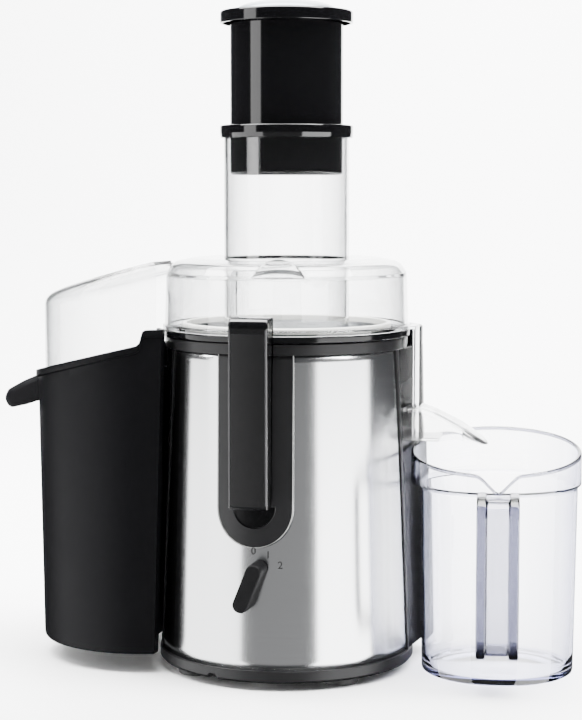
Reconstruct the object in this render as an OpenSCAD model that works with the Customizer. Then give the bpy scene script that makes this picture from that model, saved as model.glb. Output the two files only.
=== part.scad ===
// Centrifugal juicer: motor base with a steel front, clear lid with a feed tube,
// plunger, pulp bin on the left and juice jug on the right. Front is -Y, up is +Z,
// and the origin is on the motor's axis at the height of the worktop.

/* [Base] */
// Height of the rubber feet
foot_h = 4.6; // [3:0.2:8]
// Radius of each rubber foot
foot_r = 12.5; // [8:0.5:13]
// Distance of the feet from the motor axis
foot_pitch_r = 69; // [60:1:70]
// Outer radius of the base ring
base_ring_r = 85.3; // [84.6:0.1:88]
// Height of the base ring
base_ring_h = 8.1; // [7:0.1:12]
// Chamfer on the lower edge of the base ring
base_chamfer = 1.6; // [0.5:0.1:3]
// Thickness of the base plate
base_plate_t = 3; // [2:0.5:4]
// Radius of the base plate, inside the base ring
base_plate_r = 78; // [76:0.5:79]

/* [Housing] */
// Radius of the steel body at its top edge
body_top_r = 79.6; // [79.2:0.1:80.4]
// Radius of the steel body at its bottom edge
body_bottom_r = 83.7; // [83:0.1:84.4]
// Height of the steel body
body_h = 200.7; // [198:0.5:206]
// Thickness of the moulded housing walls
housing_wall = 2.4; // [2:0.1:3]
// Thickness of the steel sheet
steel_t = 0.8; // [0.5:0.1:1]
// Height of the deck that closes the motor room, above the worktop
deck_z = 150; // [148:0.5:152]
// Radius of the housing's rear corners at their top
corner_r = 34; // [32:0.5:35]
// Radius of the top ring
top_ring_r = 81; // [80.6:0.1:82]
// Height of the top ring
top_ring_h = 7.6; // [6:0.2:10]
// Width of the bead along each side edge of the steel
bead_w = 4.6; // [3:0.2:6]
// Height by which the beads stand proud of the steel
bead_rise = 1; // [0.4:0.1:1.6]

/* [Latch] */
// Width of the latch lever
lever_w = 25.6; // [22:0.2:28]
// Height of the lever's lower end above the worktop
lever_bottom_z = 117.5; // [112:0.5:122]
// Depth of the lever, front to back
lever_depth = 14; // [8:0.2:15]
// Wall of the lever
lever_wall = 2.4; // [2:0.1:3]
// Width of the recess panel behind the lever
recess_w = 49; // [46:0.5:54]
// Lowest point of the recess panel above the worktop
recess_bottom_z = 91.4; // [88:0.2:96]
// Radius of the latch hinge pin
hinge_pin_r = 1.6; // [1:0.1:2]
// Radius of the hinge pocket under the lever
pocket_r = 12.7; // [11:0.1:13]

/* [Controls] */
// Height of the speed knob's axis above the worktop
knob_z = 68; // [64:0.5:72]
// Length of the knob bar
knob_l = 33; // [28:0.5:36]
// Width of the knob bar
knob_w = 10.4; // [9:0.2:14]
// Height by which the knob stands off the steel
knob_h = 16.6; // [12:0.2:20]
// Turn of the knob at rest, clockwise from position 0
knob_turn = 22; // [0:1:50]
// Radius of the knob shaft
knob_shaft_r = 3; // [2.5:0.1:3.5]

/* [Bowl and lid] */
// Outer radius of the bowl wall under its rim
bowl_r = 75; // [74:0.2:75.4]
// Outer radius of the bowl wall at its floor
bowl_floor_r = 68; // [64:0.5:70]
// Wall of the bowl
bowl_wall = 2.2; // [1.8:0.1:2.6]
// Outer radius of the bowl rim and the lid flange
rim_r = 82.6; // [82:0.1:83]
// Height of the bowl rim
bowl_rim_h = 4.4; // [3.5:0.1:6]
// Height of the bowl floor above the motor deck
bowl_floor_gap = 7; // [5:0.5:9]
// Outer radius of the lid wall
lid_r = 81.2; // [80.6:0.1:81.6]
// Wall of the clear mouldings
lid_wall = 2.4; // [1.8:0.1:3]
// Thickness of the lid flange
lid_flange_t = 3; // [2:0.1:4]
// Height of the lid from its flange to its top edge
lid_h = 36.6; // [34:0.1:42]
// Rise of the lid top from its edge to the feed tube
lid_rise = 10.5; // [9:0.1:12]
// Outer radius of the feed tube
tube_r = 41.7; // [41:0.1:43]
// Height of the feed tube above the lid top
tube_h = 81.5; // [75:0.5:100]

/* [Pusher] */
// Radius of the plunger
plunger_r = 37.4; // [36:0.1:38]
// Wall of the plunger
plunger_wall = 2; // [1.5:0.1:3]
// Length of the plunger below its rim
plunger_l = 99.4; // [90:0.5:110]
// Height at which the plunger is held above the collar
pusher_lift = 66.6; // [20:0.2:80]
// Radius of the pusher rim
pusher_rim_r = 44; // [42:0.1:46]
// Height of the pusher rim
pusher_rim_h = 8; // [6:0.2:10]
// Radius of the pale cap on the pusher
cap_r = 33.3; // [28:0.1:35]
// Height of the cap's dome
cap_rise = 7.4; // [4:0.2:10]
// Radius of the collar on the feed tube
collar_r = 44.2; // [43.4:0.1:46]
// Height of the collar
collar_h = 5.5; // [4:0.1:8]

/* [Filter] */
// Outer radius of the basket rim
basket_rim_r = 69.8; // [68:0.1:70.4]
// Height of the filter basket
basket_h = 34; // [33:0.2:36]
// Radius of the grater disc
grater_r = 46; // [45:0.2:47]
// Height of the grater teeth
tooth_h = 1.4; // [0.8:0.1:2]
// Gap between the grater teeth and the feed tube
feed_gap = 2.2; // [1.5:0.1:4]

/* [Motor] */
// Radius of the motor shaft
shaft_r = 4; // [3.5:0.1:4.5]
// Outer radius of the stator
stator_r = 40; // [36:0.5:42]
// Radius of the armature core
armature_r = 22; // [20:0.5:24]
// Height of the lamination stack
stack_h = 40; // [30:1:44]
// Outer radius of the ball bearings
bearing_r = 11; // [10:0.2:12]
// Width of the ball bearings
bearing_w = 7; // [6:0.2:8]
// Radius of the cooling fan
fan_r = 32; // [26:0.5:34]

/* [Pulp bin] */
// Turn of the bin away from straight left, towards the back
bin_turn = 5; // [0:0.5:8]
// Distance of the bin's centre from the motor axis
bin_c = 101.4; // [100:0.2:103]
// Outer radius of the bin at its floor
bin_bottom_r = 72; // [70:0.2:73]
// Outer radius of the bin at its rim
bin_top_r = 75.4; // [75:0.2:77]
// Wall of the bin
bin_wall = 2; // [1.6:0.1:2.4]
// Height of the bin's floor above the worktop
bin_floor_z = 12; // [10:0.5:16]
// Height of the bin rim beside the housing
bin_rim_z = 220; // [218:0.2:222]
// Slope of the bin rim and of the hood's roof
bin_slope = 13.4; // [12:0.1:14]
// Gap between the bin and the housing
bin_gap = 6.6; // [6.2:0.1:8]
// Length of the bin's lifting lip
lip_l = 27.5; // [22:0.5:30]
// Width of the lifting lip
lip_w = 60; // [40:1:76]
// Outer radius of the pulp hood in plan
hood_r = 69.8; // [68:0.1:70.4]
// Height of the hood roof beside the lid
hood_z = 267.8; // [266:0.2:269]

/* [Spout and jug] */
// Turn of the spout and the jug towards the back
spout_turn = 5; // [0:0.5:8]
// Width of the spout
spout_w = 32; // [28:0.5:32.5]
// Height of the spout's underside above the worktop
spout_z = 153; // [152.6:0.1:154]
// Height of the spout at its root
spout_h = 23; // [20:0.5:25]
// Reach of the spout's roof from the motor axis
spout_reach = 135; // [130:0.5:138]
// Distance of the jug's centre from the motor axis
jug_c = 142; // [141.6:0.2:150]
// Outer radius of the jug at its base
jug_base_r = 50; // [46:0.2:51]
// Outer radius of the jug at its step
jug_body_r = 52.4; // [51.6:0.2:53]
// Outer radius of the jug at its rim
jug_rim_r = 56; // [55:0.1:56.4]
// Height of the jug at its centre
jug_h = 146.5; // [130:0.5:147]
// Depth of the step below the rim
jug_step = 21; // [18:0.5:24]
// Slope of the jug's rim, up from the handle to the pouring side
jug_slope = 8.9; // [0:0.1:9]
// Wall of the jug
jug_wall = 2.2; // [1.8:0.1:3]
// Turn of the jug's handle from straight front
handle_turn = 8.5; // [0:0.5:30]
// Width of the jug's handle
handle_w = 27; // [20:0.5:30]
// Finger room behind the handle
handle_gap = 24; // [20:0.5:30]

/* [Hidden] */
$fn = 96;
// Overshoot of a cut past the face that it opens
cut = 1;
// A size larger than the whole juicer
far = 400;
// Clearance between pieces that lie beside each other
lay_gap = 0.1;
// Clearance between pieces that move past each other
move_gap = 0.35;
// Radial clearance of a running shaft
run_gap = 0.05;

// Heights of the stack, from the worktop up
body_z0 = foot_h + base_ring_h;
body_z1 = body_z0 + body_h;
ring_top_z = body_z1 + top_ring_h;
bowl_rim_z = ring_top_z + bowl_rim_h;
lid_flange_z = bowl_rim_z + lid_flange_t;
lid_edge_z = bowl_rim_z + lid_h;
lid_top_z = lid_edge_z + lid_rise;
tube_top_z = lid_top_z + tube_h;
collar_top_z = tube_top_z + collar_h;
rim_under_z = collar_top_z + pusher_lift;
plunger_z = rim_under_z - plunger_l;
cap_z = rim_under_z + pusher_rim_h;
deck_t = 3;
deck_top_z = deck_z + deck_t;
bowl_floor_z = deck_z + bowl_floor_gap;

function body_r(z) = body_bottom_r + (body_top_r - body_bottom_r) * (z - body_z0) / body_h;

// Steel sheet: edges lean outwards from top to bottom, as places on the body's side
steel_left_top = -61;
steel_left_bottom = -76.6;
steel_right_top = -18.4;
steel_right_bottom = -5;
steel_seat = steel_t + lay_gap;

// Centres of the housing's rear corners, and the directions of its flat sides
jug_corner = [50, 42];
bin_corner = [-22, 42];
function side_normal(from, r0, to, r1) =
    let (d = to - from, a = atan2(d[1], d[0]) - acos((r0 - r1) / norm(d))) [cos(a), sin(a)];
jug_side = side_normal([0, 0], body_top_r, jug_corner, corner_r);
bin_side = side_normal(bin_corner, corner_r, [0, 0], body_top_r);

// Latch
recess_t = 1.4;
recess_r = recess_w / 2;
recess_arc_z = recess_bottom_z + recess_r;
recess_sink = 0.3;
recess_y = body_r(recess_arc_z) - recess_sink;
lever_back_y = recess_y + move_gap + 0.2;
lever_front_y = lever_back_y + lever_depth;
lever_top_z = lid_flange_z + 9.6;
hinge_z = lever_bottom_z + 5;
hinge_y = lever_back_y + 4;
ear_w = 3;
ear_r = 2.6;
ear_x = lever_w / 2 - lever_wall - move_gap - ear_w / 2;
interlock_z = deck_z - 10;
interlock_r = 2.4;
boss_l = 2.2;

// Motor
lower_bearing_z = 24;
bracket_t = 3;
bearing_cup = 2.4;
stack_z = 70;
coil_h = 6;
upper_bracket_z = 134;
upper_bearing_z = upper_bracket_z - bearing_w;
motor_bolt_r = 2;
motor_bolt_pitch = stator_r - 5;
shaft_z0 = lower_bearing_z - bracket_t + 1;
neck_h = 19;
neck_r = 12;
neck_bore = 9;
neck_top_z = deck_top_z + neck_h;
seal_h = 4;
coupler_z = neck_top_z + 2;
coupler_h = 15;
coupler_r = 11;
commutator_z = 51;
commutator_h = 14;
commutator_r = 11;
brush_w = 6;
brush_z = commutator_z + commutator_h / 2;

// Filter, from its rim down
basket_top_z = lid_flange_z + 1.4;
basket_z = basket_top_z - basket_h;
basket_base_t = 6;
basket_t = 0.7;
basket_foot_r = grater_r + 1;
basket_rim_h = 4;
basket_rim_w = 2.6;
grater_t = 1;
tube_bottom_z = basket_z + grater_t + tooth_h + feed_gap;
shaft_top_z = coupler_z + coupler_h;

// Clear lid and hood
lid_in_r = lid_r - lid_wall;
hood_floor_r = 92;
tube_in_r = tube_r - lid_wall;
pulp_way_w = 64;
hood_edge = 68;

// Pulp bin: the side that faces the housing keeps a gap to the flaring body
bin_clear_top = body_r(body_z1) + bin_gap;
bin_clear_bottom = body_r(body_z0) + bin_gap;
bin_end_top = 63;
bin_end_bottom = 70;
bin_rim_t = 4;
bin_rim_w = 1.2;
bin_ear_z = bin_rim_z + 7;
bin_ear_end = 75;
hang_z = 196;
hang_r = 2;
hang_c = (body_r(hang_z) + bin_clear_top) / 2 + 0.6;
hang_half = 12;
hook_wall = 1.6;

// Spout
spout_wall = 2;
spout_plate_x = 85.5;
spout_plate_r = 86.6;
spout_plate_t = 2;
spout_plate_w = 26;
mouth_x = 104;
outlet_half = spout_w / 2 - spout_wall;

// Jug
handle_t = 5;
handle_z0 = 22;
handle_drop = 18.5;
// how far the rim's circle stands off the jug's own, towards the spout
rim_shift = 1.7;
jug_foot_h = 4;

// Places of the base screws, from straight front, anticlockwise from above
screw_pitch_r = 72;
screw_angles = [45, 135, 225, 315];
screw_r = 2;

module at_bin() rotate(-bin_turn) children();
module at_spout() rotate(spout_turn) children();
module at_jug() at_spout() translate([jug_c, 0, 0]) children();
// Turns a shape that faces +X to face the handle's side of the jug
module at_handle() at_jug() rotate(handle_turn - 90 - spout_turn) children();

// A ring between two radii
module ring(outer, inner, h) {
    difference() {
        cylinder(h = h, r = outer);
        translate([0, 0, -cut]) cylinder(h = h + 2 * cut, r = inner);
    }
}

// The body's cone between two heights, grown by dr
module body_cone(z0, z1, dr) {
    translate([0, 0, z0]) cylinder(h = z1 - z0, r1 = body_r(z0) + dr, r2 = body_r(z1) + dr);
}

// Corners of the housing's flat sides at height z, grown by dr
function flat_points(z, dr) = let (
    body = body_r(z) + dr - 0.4,
    corner = corner_r + body_r(z) - body_top_r + dr - 0.4
) [
    [0, 0, z],
    [body * jug_side[0], body * jug_side[1], z],
    [jug_corner[0] + corner * jug_side[0], jug_corner[1] + corner * jug_side[1], z],
    [jug_corner[0], jug_corner[1] + corner, z],
    [bin_corner[0], bin_corner[1] + corner, z],
    [bin_corner[0] + corner * bin_side[0], bin_corner[1] + corner * bin_side[1], z],
    [body * bin_side[0], body * bin_side[1], z]
];

// The whole outline of the housing between two heights, grown by dr
module housing_block(z0, z1, dr) {
    n = 7;
    body_cone(z0, z1, dr);
    for (place = [jug_corner, bin_corner])
        translate([place[0], place[1], z0])
            cylinder(
                h = z1 - z0,
                r1 = corner_r + body_r(z0) - body_top_r + dr,
                r2 = corner_r + body_r(z1) - body_top_r + dr
            );
    polyhedron(
        points = concat(flat_points(z0, dr), flat_points(z1, dr)),
        faces = concat(
            [[for (i = [0 : n - 1]) i]],
            [[for (i = [0 : n - 1]) 2 * n - 1 - i]],
            [for (i = [0 : n - 1]) [i, i + n, (i + 1) % n + n, (i + 1) % n]]
        )
    );
}

// Where a side edge of the steel stands at height z
function edge_x(bottom, top, z) = bottom + (top - bottom) * (z - body_z0) / body_h;

// The slanted wedge of the body that the steel covers, grown by m at each side edge
module steel_wedge(m, over = 0) {
    z0 = body_z0 - over;
    z1 = body_z1 + over;
    intersection() {
        translate([0, 20, 0]) rotate([90, 0, 0]) linear_extrude(far)
            polygon([
                [edge_x(steel_left_bottom, steel_left_top, z0) - m, z0], [far, z0],
                [far, z1], [edge_x(steel_left_bottom, steel_left_top, z1) - m, z1]
            ]);
        translate([-far, 0, 0]) rotate([90, 0, 90]) linear_extrude(2 * far)
            polygon([
                [-far, z0], [edge_x(steel_right_bottom, steel_right_top, z0) + m, z0],
                [edge_x(steel_right_bottom, steel_right_top, z1) + m, z1], [-far, z1]
            ]);
    }
}

// A skin of the body between two offsets from its outer surface
module body_skin(outer_dr, inner_dr) {
    difference() {
        body_cone(body_z0, body_z1, outer_dr);
        body_cone(body_z0 - cut, body_z1 + cut, inner_dr);
    }
}

// U outline of the recess panel, drawn upright and grown by m
module recess_outline(m, top_z) {
    translate([0, recess_arc_z]) circle(r = recess_r + m);
    translate([-recess_r - m, recess_arc_z]) square([recess_w + 2 * m, top_z - recess_arc_z]);
}

// Extrudes an upright outline from the axis towards the front
module frontwards() rotate([90, 0, 0]) linear_extrude(far) children();

// ---- Base ----
module rubber_feet() {
    color("#1b1b1b")
    for (a = [45 : 90 : 315])
        rotate(a) translate([foot_pitch_r, 0, 0])
            cylinder(h = foot_h, r1 = foot_r - 1, r2 = foot_r);
}

module base_ring() {
    notch_w = 7;
    notch_h = 4;
    color("#2b2b2c")
    difference() {
        rotate_extrude() polygon([
            [base_plate_r, foot_h],
            [base_ring_r - base_chamfer, foot_h],
            [base_ring_r, foot_h + base_chamfer],
            [base_ring_r, body_z0],
            [base_plate_r, body_z0]
        ]);
        rotate(-19.5) translate([-notch_w / 2, -base_ring_r - cut, foot_h - cut])
            cube([notch_w, 6, notch_h + cut]);
    }
}

module base_plate() {
    slot_l = 26;
    color("#262626")
    difference() {
        translate([0, 0, foot_h]) cylinder(h = base_plate_t, r = base_plate_r);
        for (x = [-21 : 7 : 21])
            translate([x - 1.5, -slot_l / 2, foot_h - cut])
                cube([3, slot_l, base_plate_t + 2 * cut]);
        for (a = screw_angles)
            rotate(a - 45) translate([screw_pitch_r, 0, foot_h - cut])
                cylinder(h = base_plate_t + 2 * cut, r = screw_r);
    }
}

module base_screws() {
    head_h = 1.6;
    color("silver")
    for (a = screw_angles)
        rotate(a - 45) translate([screw_pitch_r, 0, 0]) {
            translate([0, 0, foot_h - head_h]) cylinder(h = head_h, r = 3.6);
            translate([0, 0, foot_h]) cylinder(h = 18, r = screw_r);
        }
}

gland_z = 58;
gland_x = 0;
gland_r = 6;
gland_bore = 3.8;
gland_y = body_r(gland_z);
module cord_gland() {
    color("#1b1b1b")
    translate([gland_x, gland_y, gland_z]) rotate([90, 0, 0])
    difference() {
        union() {
            translate([0, 0, -2]) cylinder(h = 2 - lay_gap - 0.4, r = gland_r + 2);
            translate([0, 0, -1]) cylinder(h = 10.4, r = gland_r);
            translate([0, 0, 7.4]) cylinder(h = 2.2, r = gland_r + 2);
        }
        translate([0, 0, -5]) cylinder(h = 20, r = gland_bore);
    }
}

// ---- Housing ----
// Room for the bowl's rim, the spout's plate and the tab between them
module spout_room(z0, z1) {
    at_spout() translate([60, -spout_w / 2 - 1, z0]) cube([60, spout_w + 2, z1 - z0]);
}

// A hollow of the housing between two heights
module hollow(z0, z1, dr) {
    r = corner_r - housing_wall - dr;
    translate([0, 0, z0]) {
        cylinder(h = z1 - z0, r = body_top_r - steel_seat - housing_wall - dr);
        for (place = [jug_corner, bin_corner])
            translate([place[0], place[1], 0]) cylinder(h = z1 - z0, r = r);
        translate([bin_corner[0], 0, 0])
            cube([jug_corner[0] - bin_corner[0], jug_corner[1] + r - 0.3, z1 - z0]);
        translate([0, 2, 0]) cube([jug_corner[0] + r - 0.5, jug_corner[1] - 2, z1 - z0]);
    }
}

// The housing's walls as one solid; the shell and the crown are its lower and upper part
module housing_walls() {
    post_r = 5.4;
    difference() {
        union() {
            difference() {
                housing_block(body_z0, body_z1, 0);
                hollow(body_z0 + housing_wall, body_z1 - housing_wall, 0);
                translate([0, 0, body_z1 - 2 * housing_wall]) cylinder(h = far, r = crown_in_r);
                translate([0, 0, body_z0 - cut])
                    cylinder(h = housing_wall + 2 * cut, r = base_plate_r);
            }
            // posts for the base screws
            for (a = screw_angles)
                rotate(a - 45) translate([screw_pitch_r, 0, foot_h + base_plate_t])
                    cylinder(h = 40, r = post_r);
            // raised rear corner beside the bowl's rim
            difference() {
                translate([jug_corner[0], jug_corner[1], body_z1 - 1])
                    cylinder(h = bowl_rim_z - body_z1 + 1, r = corner_r - 0.5);
                translate([0, 0, body_z1 - 3]) cylinder(h = far, r = rim_r + 0.6);
                spout_room(body_z1 - 3, far);
            }
        }
        // seat of the steel sheet and its beads
        intersection() {
            difference() {
                translate([0, 0, body_z0 - cut]) cylinder(h = body_h + 2 * cut, r = far / 3);
                body_cone(body_z0 - 2 * cut, body_z1 + 2 * cut, -steel_seat);
            }
            steel_wedge(bead_w + lay_gap, 4 * cut);
        }
        // seat of the recess panel
        intersection() {
            difference() {
                translate([0, 0, body_z0 - cut]) cylinder(h = body_h + 2 * cut, r = far / 3);
                body_cone(body_z0 - 2 * cut, body_z1 + 2 * cut, -recess_sink - recess_t - lay_gap);
            }
            frontwards() recess_outline(lay_gap, far);
        }
        // window behind the recess panel
        frontwards() translate([-recess_r + 4, recess_bottom_z + 6])
            square([recess_w - 8, body_z1 - recess_bottom_z - 9]);
        // way out for the spout
        at_spout() translate([60, -spout_w / 2 - 0.6, spout_z - 0.6])
            cube([40, spout_w + 1.2, spout_h + 1.2]);
        translate([0, 0, knob_z]) rotate([90, 0, 0]) cylinder(h = far, r = knob_shaft_r + 1);
        for (a = screw_angles)
            rotate(a - 45) translate([screw_pitch_r, 0, 0])
                cylinder(h = foot_h + 18, r = screw_r);
        translate([gland_x, 0, gland_z]) rotate([-90, 0, 0]) cylinder(h = far, r = gland_r);
        // air slots in the back wall
        for (z = [74 : 7 : 123])
            translate([-14, 60, z]) cube([44, 60, 3]);
    }
}

// The crown starts at the lower edge of the spout's way out
crown_z = spout_z - 0.6;
module housing_shell() {
    color("#0e0e0f")
    difference() {
        housing_walls();
        translate([-far / 2, -far / 2, crown_z]) cube([far, far, far]);
    }
}

module housing_crown() {
    color("#0e0e0f")
    difference() {
        housing_walls();
        translate([-far / 2, -far / 2, crown_z + lay_gap - far]) cube([far, far, far]);
    }
}

// Deck over the motor room, with the neck that the shaft runs up through
module motor_deck() {
    color("#0e0e0f")
    difference() {
        union() {
            hollow(deck_z, deck_top_z, lay_gap);
            translate([0, 0, deck_z]) cylinder(h = deck_t + neck_h, r = neck_r);
        }
        at_spout() translate([60, -spout_w / 2 - 0.6, spout_z - 0.6])
            cube([40, spout_w + 1.2, spout_h + 1.2]);
        translate([0, 0, deck_z - cut]) cylinder(h = 60, r = neck_bore);
    }
}

module steel_panel() {
    color("#c4c5c6")
    difference() {
        intersection() {
            body_skin(0, -steel_t);
            steel_wedge(0);
        }
        frontwards() recess_outline(lay_gap, far);
        translate([0, 0, knob_z]) rotate([90, 0, 0]) cylinder(h = far, r = knob_shaft_r + 1);
    }
}

module panel_beads() {
    color("#3c3c3e")
    difference() {
        intersection() {
            body_skin(bead_rise, -steel_t);
            steel_wedge(bead_w);
        }
        steel_wedge(lay_gap);
    }
}

// A ring on top of the body, over an arc that starts at a
module crown(a, angle, inner) {
    rotate(a) rotate_extrude(angle = angle)
        translate([inner, body_z1]) square([top_ring_r - inner, top_ring_h]);
}

crown_in_r = bowl_r + 0.6;
crown_start = -190;
crown_angle = 186;

module top_ring() {
    color("#434345")
    difference() {
        crown(crown_start, crown_angle, crown_in_r);
        frontwards() translate([-lever_w / 2 - 1, body_z1 - cut])
            square([lever_w + 2, 3 * cut]);
    }
}

module rear_ring() {
    color("#121213")
    difference() {
        crown(crown_start + crown_angle + 0.3, 360 - crown_angle - 0.6, crown_in_r);
        spout_room(body_z1 - cut, ring_top_z + cut);
    }
}

// ---- Latch ----
module latch_recess() {
    color("#3a3a3c")
    difference() {
        union() {
            intersection() {
                frontwards() recess_outline(0, body_z1);
                difference() {
                    body_cone(body_z0, body_z1, -recess_sink);
                    body_cone(body_z0 - cut, body_z1 + cut, -recess_sink - recess_t);
                }
            }
            for (s = [-1, 1])
                translate([s * ear_x - ear_w / 2, 0, 0]) {
                    translate([0, -hinge_y, hinge_z]) rotate([0, 90, 0]) cylinder(h = ear_w, r = ear_r);
                    translate([0, -hinge_y, hinge_z - ear_r])
                        cube([ear_w, hinge_y - body_r(hinge_z) + 1.4, 2 * ear_r]);
                }
        }
        translate([-far / 2, 0, hinge_z]) translate([0, -hinge_y, 0])
            rotate([0, 90, 0]) cylinder(h = far, r = hinge_pin_r);
        frontwards() difference() {
            translate([0, lever_bottom_z]) circle(r = pocket_r);
            translate([-pocket_r - cut, lever_bottom_z]) square([2 * pocket_r + 2 * cut, far]);
        }
        translate([0, 0, interlock_z]) rotate([90, 0, 0])
            cylinder(h = far, r = interlock_r + run_gap);
    }
}

module hinge_pocket() {
    depth = 10;
    wall = 1.4;
    front = body_r(lever_bottom_z) - recess_sink - recess_t - lay_gap;
    color("#0c0c0d")
    difference() {
        translate([0, -front + depth, 0]) rotate([90, 0, 0]) linear_extrude(depth)
            difference() {
                translate([0, lever_bottom_z]) circle(r = pocket_r + wall);
                translate([-far / 2, lever_bottom_z]) square([far, far]);
            }
        translate([0, -front + depth - wall, 0]) rotate([90, 0, 0]) linear_extrude(depth)
            difference() {
                translate([0, lever_bottom_z]) circle(r = pocket_r);
                translate([-far / 2, lever_bottom_z - wall]) square([far, far]);
            }
        difference() {
            translate([0, 0, lever_bottom_z - 40]) cylinder(h = 80, r = far / 2);
            body_cone(lever_bottom_z - 30, lever_bottom_z + 30, -recess_sink - recess_t - lay_gap);
        }
    }
}

module latch_hinge_pin() {
    color("silver")
    translate([-lever_w / 2 + 0.6, -hinge_y, hinge_z]) rotate([0, 90, 0])
        cylinder(h = lever_w - 1.2, r = hinge_pin_r);
}

lever_round = 5.6;
module lever_profile() {
    translate([-lever_front_y, hinge_z])
        square([lever_front_y - lever_back_y, lever_top_z - lever_round - hinge_z]);
    translate([-lever_front_y, lever_bottom_z])
        square([lever_front_y - hinge_y - 0.6, hinge_z - lever_bottom_z + cut]);
    translate([-hinge_y, hinge_z]) circle(r = hinge_y - lever_back_y + 0.1);
    translate([-lever_front_y + lever_round, lever_top_z - lever_round]) circle(r = lever_round);
    translate([-lever_front_y + lever_round, lid_flange_z + move_gap])
        square([lever_front_y - lever_round - lid_r - 1.2, lever_top_z - lid_flange_z - move_gap]);
}

module latch_lever() {
    inner_w = lever_w - 2 * lever_wall;
    color("#151516")
    difference() {
        translate([-lever_w / 2, 0, 0]) rotate([90, 0, 90]) linear_extrude(lever_w) lever_profile();
        // hollow back
        translate([-inner_w / 2, -lever_front_y + lever_wall, lever_bottom_z - cut])
            cube([inner_w, far, lid_flange_z - 4 - lever_bottom_z]);
        // room for the rims of the bowl and the lid
        translate([0, 0, body_z1 - 2])
            cylinder(h = lid_flange_z + move_gap - body_z1 + 2, r = rim_r + 0.7);
        // seat of the grip
        grip_seat();
        // running bore of the hinge
        translate([-far / 2, -hinge_y, hinge_z]) rotate([0, 90, 0])
            cylinder(h = far, r = hinge_pin_r + run_gap);
    }
    // boss that presses the interlock pin
    translate([0, -lever_front_y + lever_wall + boss_l, interlock_z]) rotate([90, 0, 0])
        color("#151516") cylinder(h = boss_l + 0.5, r = 4);
}

grip_margin = 2.2;
grip_depth = 0.9;
module grip_seat() {
    translate([-lever_w / 2 + grip_margin, -lever_front_y - cut, lever_bottom_z + 1.6])
        cube([
            lever_w - 2 * grip_margin, grip_depth + cut,
            lever_top_z - lever_round - 2 - lever_bottom_z - 1.6
        ]);
}

module latch_grip() {
    color("#2a2a2b")
    intersection() {
        grip_seat();
        translate([-far / 2, -lever_front_y, 0]) cube([far, far, far]);
    }
}

interlock_tip_y = lever_front_y - lever_wall - boss_l - 0.1;
interlock_l = 20.6;
module interlock_pin() {
    color("#d8d8d4")
    translate([0, -interlock_tip_y + interlock_l, interlock_z]) rotate([90, 0, 0])
        cylinder(h = interlock_l, r = interlock_r);
}

module interlock_switch() {
    front = body_r(interlock_z) - recess_t - recess_sink - lay_gap;
    color("#202124")
    difference() {
        intersection() {
            translate([-10, -front, interlock_z - 8]) cube([20, 15, 16]);
            body_cone(body_z0, body_z1, -recess_sink - recess_t - lay_gap);
        }
        translate([0, -front + 12, interlock_z]) rotate([90, 0, 0])
            cylinder(h = far, r = interlock_r + run_gap);
    }
}

// ---- Speed control ----
knob_foot_y = body_r(knob_z) + move_gap;
knob_shaft_l = 19;
module speed_knob() {
    color("#262627")
    translate([0, 0, knob_z]) rotate([0, knob_turn, 0]) {
        translate([0, -knob_foot_y, 0]) rotate([90, 0, 0]) linear_extrude(knob_h)
            union() {
                for (s = [-1, 1])
                    translate([0, s * (knob_l - knob_w) / 2]) circle(r = knob_w / 2);
                translate([-knob_w / 2, -(knob_l - knob_w) / 2])
                    square([knob_w, knob_l - knob_w]);
            }
        translate([0, -knob_foot_y + knob_shaft_l, 0]) rotate([90, 0, 0])
            cylinder(h = knob_shaft_l + 2, r = knob_shaft_r);
    }
}

module rotary_switch() {
    front = body_top_r - steel_seat - housing_wall - lay_gap;
    color("#e4e2da")
    difference() {
        intersection() {
            translate([-13, -front, knob_z - 13]) cube([26, 20, 26]);
            cylinder(h = deck_z, r = front);
        }
        translate([0, -front + 17, knob_z]) rotate([90, 0, 0])
            cylinder(h = far, r = knob_shaft_r + run_gap);
    }
}

// ---- Motor ----
// Spoked bracket with a bearing cup; the cup stands on the +Z side of the plate
module bracket() {
    difference() {
        union() {
            cylinder(h = bracket_t, r = stator_r);
            cylinder(h = bracket_t + bearing_w, r = bearing_r + bearing_cup);
        }
        translate([0, 0, bracket_t]) cylinder(h = far, r = bearing_r);
        translate([0, 0, -cut]) cylinder(h = far, r = shaft_r + 1.5);
        for (a = [0 : 90 : 270])
            rotate(a) translate([stator_r * 0.6, 0, -cut]) cylinder(h = far, r = 7);
        for (a = [45 : 90 : 315])
            rotate(a) translate([motor_bolt_pitch, 0, -cut]) cylinder(h = far, r = motor_bolt_r);
    }
}

module motor_lower_bracket() {
    color("#9a9c9e") translate([0, 0, lower_bearing_z - bracket_t]) bracket();
}

module motor_upper_bracket() {
    color("#9a9c9e")
    translate([0, 0, upper_bracket_z + bracket_t]) rotate([180, 0, 0]) bracket();
}

module motor_stator() {
    color("#6f7275")
    translate([0, 0, stack_z])
    difference() {
        cylinder(h = stack_h, r = stator_r);
        translate([0, 0, -cut]) cylinder(h = stack_h + 2 * cut, r = armature_r + 0.5);
        for (a = [0, 180])
            rotate(a) translate([armature_r - 6, -9, -cut]) cube([13, 18, stack_h + 2 * cut]);
        for (a = [45 : 90 : 315])
            rotate(a) translate([motor_bolt_pitch, 0, -cut])
                cylinder(h = stack_h + 2 * cut, r = motor_bolt_r);
    }
}

module field_coils() {
    color("#b06a35")
    for (z = [stack_z - coil_h, stack_z + stack_h])
        translate([0, 0, z]) ring(motor_bolt_pitch - motor_bolt_r - 1, armature_r + 3, coil_h);
}

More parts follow.
